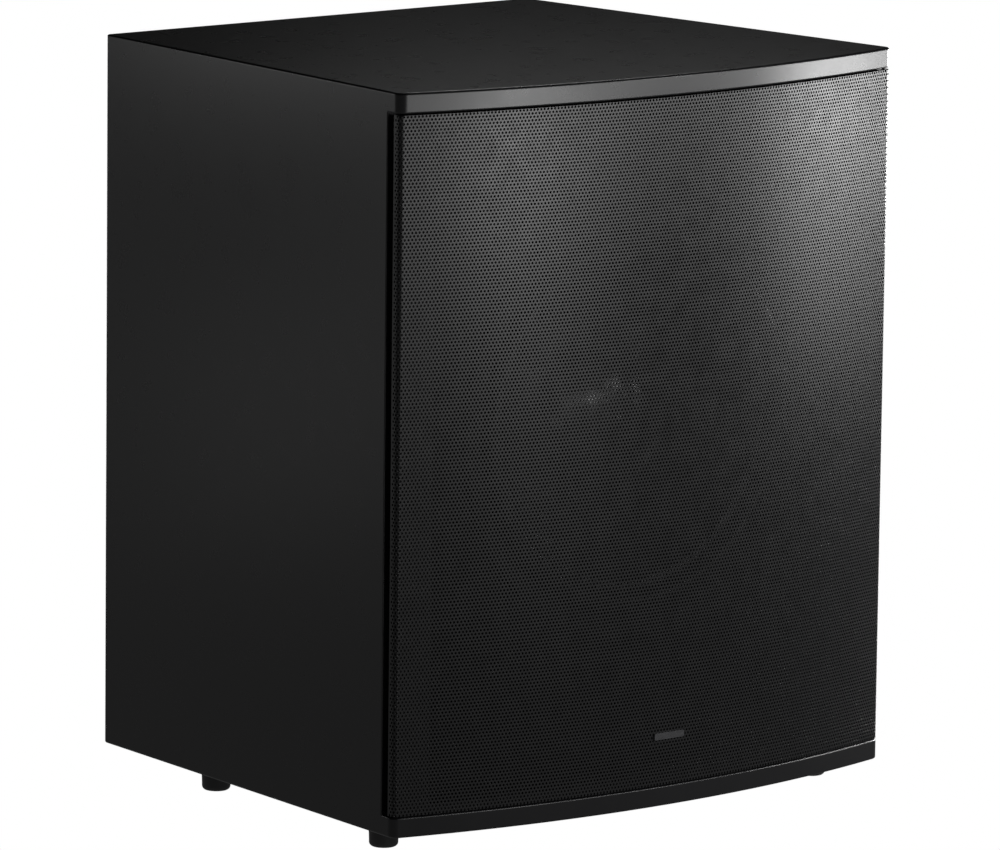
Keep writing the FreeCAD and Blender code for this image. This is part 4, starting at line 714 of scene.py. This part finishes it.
def bars(name, places, thickness, look):
    """Flat bars that face +Y: each place is (x, y, z, length, width, angle in degrees)."""
    corners, faces = [], []
    for x, y, z, length, width, angle in places:
        a = math.radians(angle)
        along, across = (math.sin(a) * length / 2, math.cos(a) * length / 2), (math.cos(a), -math.sin(a))
        base = len(corners)
        for depth in (0.0, thickness):
            for i, j in ((-1, -1), (1, -1), (1, 1), (-1, 1)):
                corners.append((x + i * along[0] + j * across[0] * width / 2, y + depth,
                                z + i * along[1] + j * across[1] * width / 2))
        faces += [[base + k for k in face] for face in
                  ((0, 1, 2, 3), (7, 6, 5, 4), (0, 4, 5, 1), (1, 5, 6, 2), (2, 6, 7, 3), (3, 7, 4, 0))]
    return add_mesh(name, corners, faces, look)


def middle(node):
    low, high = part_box(node)
    return (low.x + high.x) / 2, (low.z + high.z) / 2


def dial_marks():
    """A scale of strokes round each knob, a stroke at each end of the switches' slots and two frames."""
    y = plate_high.y + MARK_GAP
    places = []
    for knob in ("level_knob", "crossover_knob"):
        x, z = middle(knob)
        for step in range(DIAL_STEPS):
            angle = DIAL_FROM + DIAL_STEP * step
            a = math.radians(angle)
            length = LONG_STROKE if step % 5 == 0 else SHORT_STROKE
            reach = DIAL_R + length / 2
            places.append((x + math.sin(a) * reach, y, z + math.cos(a) * reach, length, STROKE_W, angle))
    for slider in ("phase_slider", "mode_slider"):
        x, z = middle(slider)
        x -= SWITCH_TRAVEL / 2
        for side in (-1, 1):
            places.append((x + side * SWITCH_TRAVEL / 2, y, z + SWITCH_UP, SWITCH_STROKE, STROKE_W, 0))
    for group in (("phono_inputs", "balanced_shell"), ("mains_inlet",)):
        boxes = [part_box(node) for node in group]
        x0, x1 = min(b[0].x for b in boxes) - FRAME_GAP, max(b[1].x for b in boxes) + FRAME_GAP
        z0, z1 = min(b[0].z for b in boxes) - FRAME_GAP, max(b[1].z for b in boxes) + FRAME_GAP
        for z in (z0, z1):
            places.append(((x0 + x1) / 2, y, z, x1 - x0, FRAME_W, 90))
        for x in (x0, x1):
            places.append((x, y, (z0 + z1) / 2, z1 - z0, FRAME_W, 0))
    piece = bars("dial_marks", places, MARK_T, "white_print")
    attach(piece, "cabinet")


def status_lens():
    """The domed end of a light pipe, in the small hole beside the knobs."""
    place = (LENS_PLACE[0], (plate_low.z + plate_high.z) / 2 + LENS_PLACE[1])
    outline = [(0.0, -6.0), (2.3, -6.0), (2.3, 0.3), (2.1, 0.8), (1.6, 1.2), (0.9, 1.4), (0.0, 1.5)]
    piece = revolved("status_lens", outline, "lamp", 32, 0.9, place, plate_high.y)
    solid = bmesh.new()
    solid.from_mesh(piece.data)
    bmesh.ops.remove_doubles(solid, verts=solid.verts, dist=0.000001)
    solid.to_mesh(piece.data)
    solid.free()
    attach(piece, "cabinet")


dial_marks()
status_lens()


# ---- studio ----------------------------------------------------------------------------------------------
# Each panel of light: its middle, the way it faces, its size and its brightness.
FRONT, RIGHT, TOP, BACK = (0, 1, 0), (-1, 0, 0), (0, 0, -1), (0, -1, 0)
PANELS = (
    ((0.275, -1.4, 0.5), FRONT, 0.25, 0.2, 11.1), ((0.525, -1.4, 0.5), FRONT, 0.25, 0.2, 5.29),
    ((0.025, -1.4, 0.5), FRONT, 0.25, 0.2, 3.61), ((1.025, -1.4, 0.7), FRONT, 0.25, 0.2, 15.1),
    ((0.775, -1.4, 0.7), FRONT, 0.25, 0.2, 8.06), ((0.775, -1.4, 0.5), FRONT, 0.25, 0.2, 2.27),
    ((1.275, -1.4, 0.5), FRONT, 0.25, 0.2, 4.54), ((-0.225, -1.4, 0.5), FRONT, 0.25, 0.2, 1.93),
    ((0.275, -1.4, 0.3), FRONT, 0.25, 0.2, 1.34), ((0.525, -1.4, 0.3), FRONT, 0.25, 0.2, 0.605),
    ((-0.225, -1.4, 0.3), FRONT, 0.25, 0.2, 1.01), ((0.4, -1.4, 0.1), FRONT, 0.5, 0.2, 0.37),
    ((-0.475, -1.4, 0.1), FRONT, 0.25, 0.2, 1.85),
    ((1.4, -1.01, 0.5), RIGHT, 0.26, 0.2, 22.2), ((1.4, -0.75, 0.5), RIGHT, 0.26, 0.2, 14),
    ((1.4, -1.01, 0.3), RIGHT, 0.26, 0.2, 4.37), ((1.4, -0.75, 0.3), RIGHT, 0.26, 0.2, 2.52),
    ((1.4, 0.03, 0.5), RIGHT, 0.26, 0.2, 120.0), ((1.4, -0.23, 0.5), RIGHT, 0.26, 0.2, 12.9),
    ((0.775, 0.71, 1.6), TOP, 0.25, 0.325, 9.4), ((1.025, 0.71, 1.6), TOP, 0.25, 0.325, 5.8),
    ((-1.04, 1.2, 0.667), BACK, 0.375, 0.267, 2.2), ((-1.413, 1.2, 0.4), BACK, 0.375, 0.267, 0.4),
    ((-1.04, 1.2, 0.133), BACK, 0.375, 0.267, 0.2), ((0.837, 1.2, 1.467), BACK, 0.375, 0.267, 0.83),
    ((0.5, 1.4, 0.32), BACK, 1.6, 0.56, 2.2),
)
FLOOR_GLOW = 0.13             # what the floor and the walls send to the object, while both look white
WALL_GLOW = 0.01
FLOOR_REACH = 30.0            # from the middle to the floor's edges


def panel(number, place, facing, width, height, brightness):
    """A panel of light that looks equally bright from everywhere and isn't seen itself."""
    data = bpy.data.lights.new(f"panel_{number}", "AREA")
    data.shape = "RECTANGLE"
    data.size, data.size_y = width, height
    data.energy = brightness * width * height * math.pi
    light = bpy.data.objects.new(f"panel_{number}", data)
    light.location = place
    light.rotation_euler = Vector(facing).to_track_quat("-Z", "Y").to_euler()
    light.visible_camera = False
    bpy.context.collection.objects.link(light)


def seen_white(tree, strength, glow):
    """Drives a strength socket so that the camera sees white and everything else gets a fainter glow."""
    path = tree.nodes.new("ShaderNodeLightPath")
    scale = tree.nodes.new("ShaderNodeMath")
    scale.operation = "MULTIPLY_ADD"
    scale.inputs[1].default_value = 1.0 - glow
    scale.inputs[2].default_value = glow
    tree.links.new(path.outputs["Is Camera Ray"], scale.inputs[0])
    tree.links.new(scale.outputs["Value"], strength)


def studio():
    """A floor and walls that look white, and the panels of light."""
    world = bpy.data.worlds.new("studio")
    bpy.context.scene.world = world
    world.use_nodes = True
    background = world.node_tree.nodes["Background"]
    background.inputs["Color"].default_value = (1, 1, 1, 1)
    seen_white(world.node_tree, background.inputs["Strength"], WALL_GLOW)
    mesh = bpy.data.meshes.new("floor")
    r = FLOOR_REACH
    mesh.from_pydata([(-r, -r, 0), (r, -r, 0), (r, r, 0), (-r, r, 0)], [], [(0, 1, 2, 3)])
    floor = bpy.data.objects.new("floor", mesh)
    bpy.context.collection.objects.link(floor)
    paper = bpy.data.materials.new("floor")
    paper.use_nodes = True
    tree = paper.node_tree
    tree.nodes.remove(tree.nodes["Principled BSDF"])
    glow = tree.nodes.new("ShaderNodeEmission")
    tree.links.new(glow.outputs["Emission"], tree.nodes["Material Output"].inputs["Surface"])
    seen_white(tree, glow.inputs["Strength"], FLOOR_GLOW)
    mesh.materials.append(paper)
    for number, settings in enumerate(PANELS):
        panel(number, *settings)
    bpy.context.scene.view_settings.view_transform = "Standard"


studio()
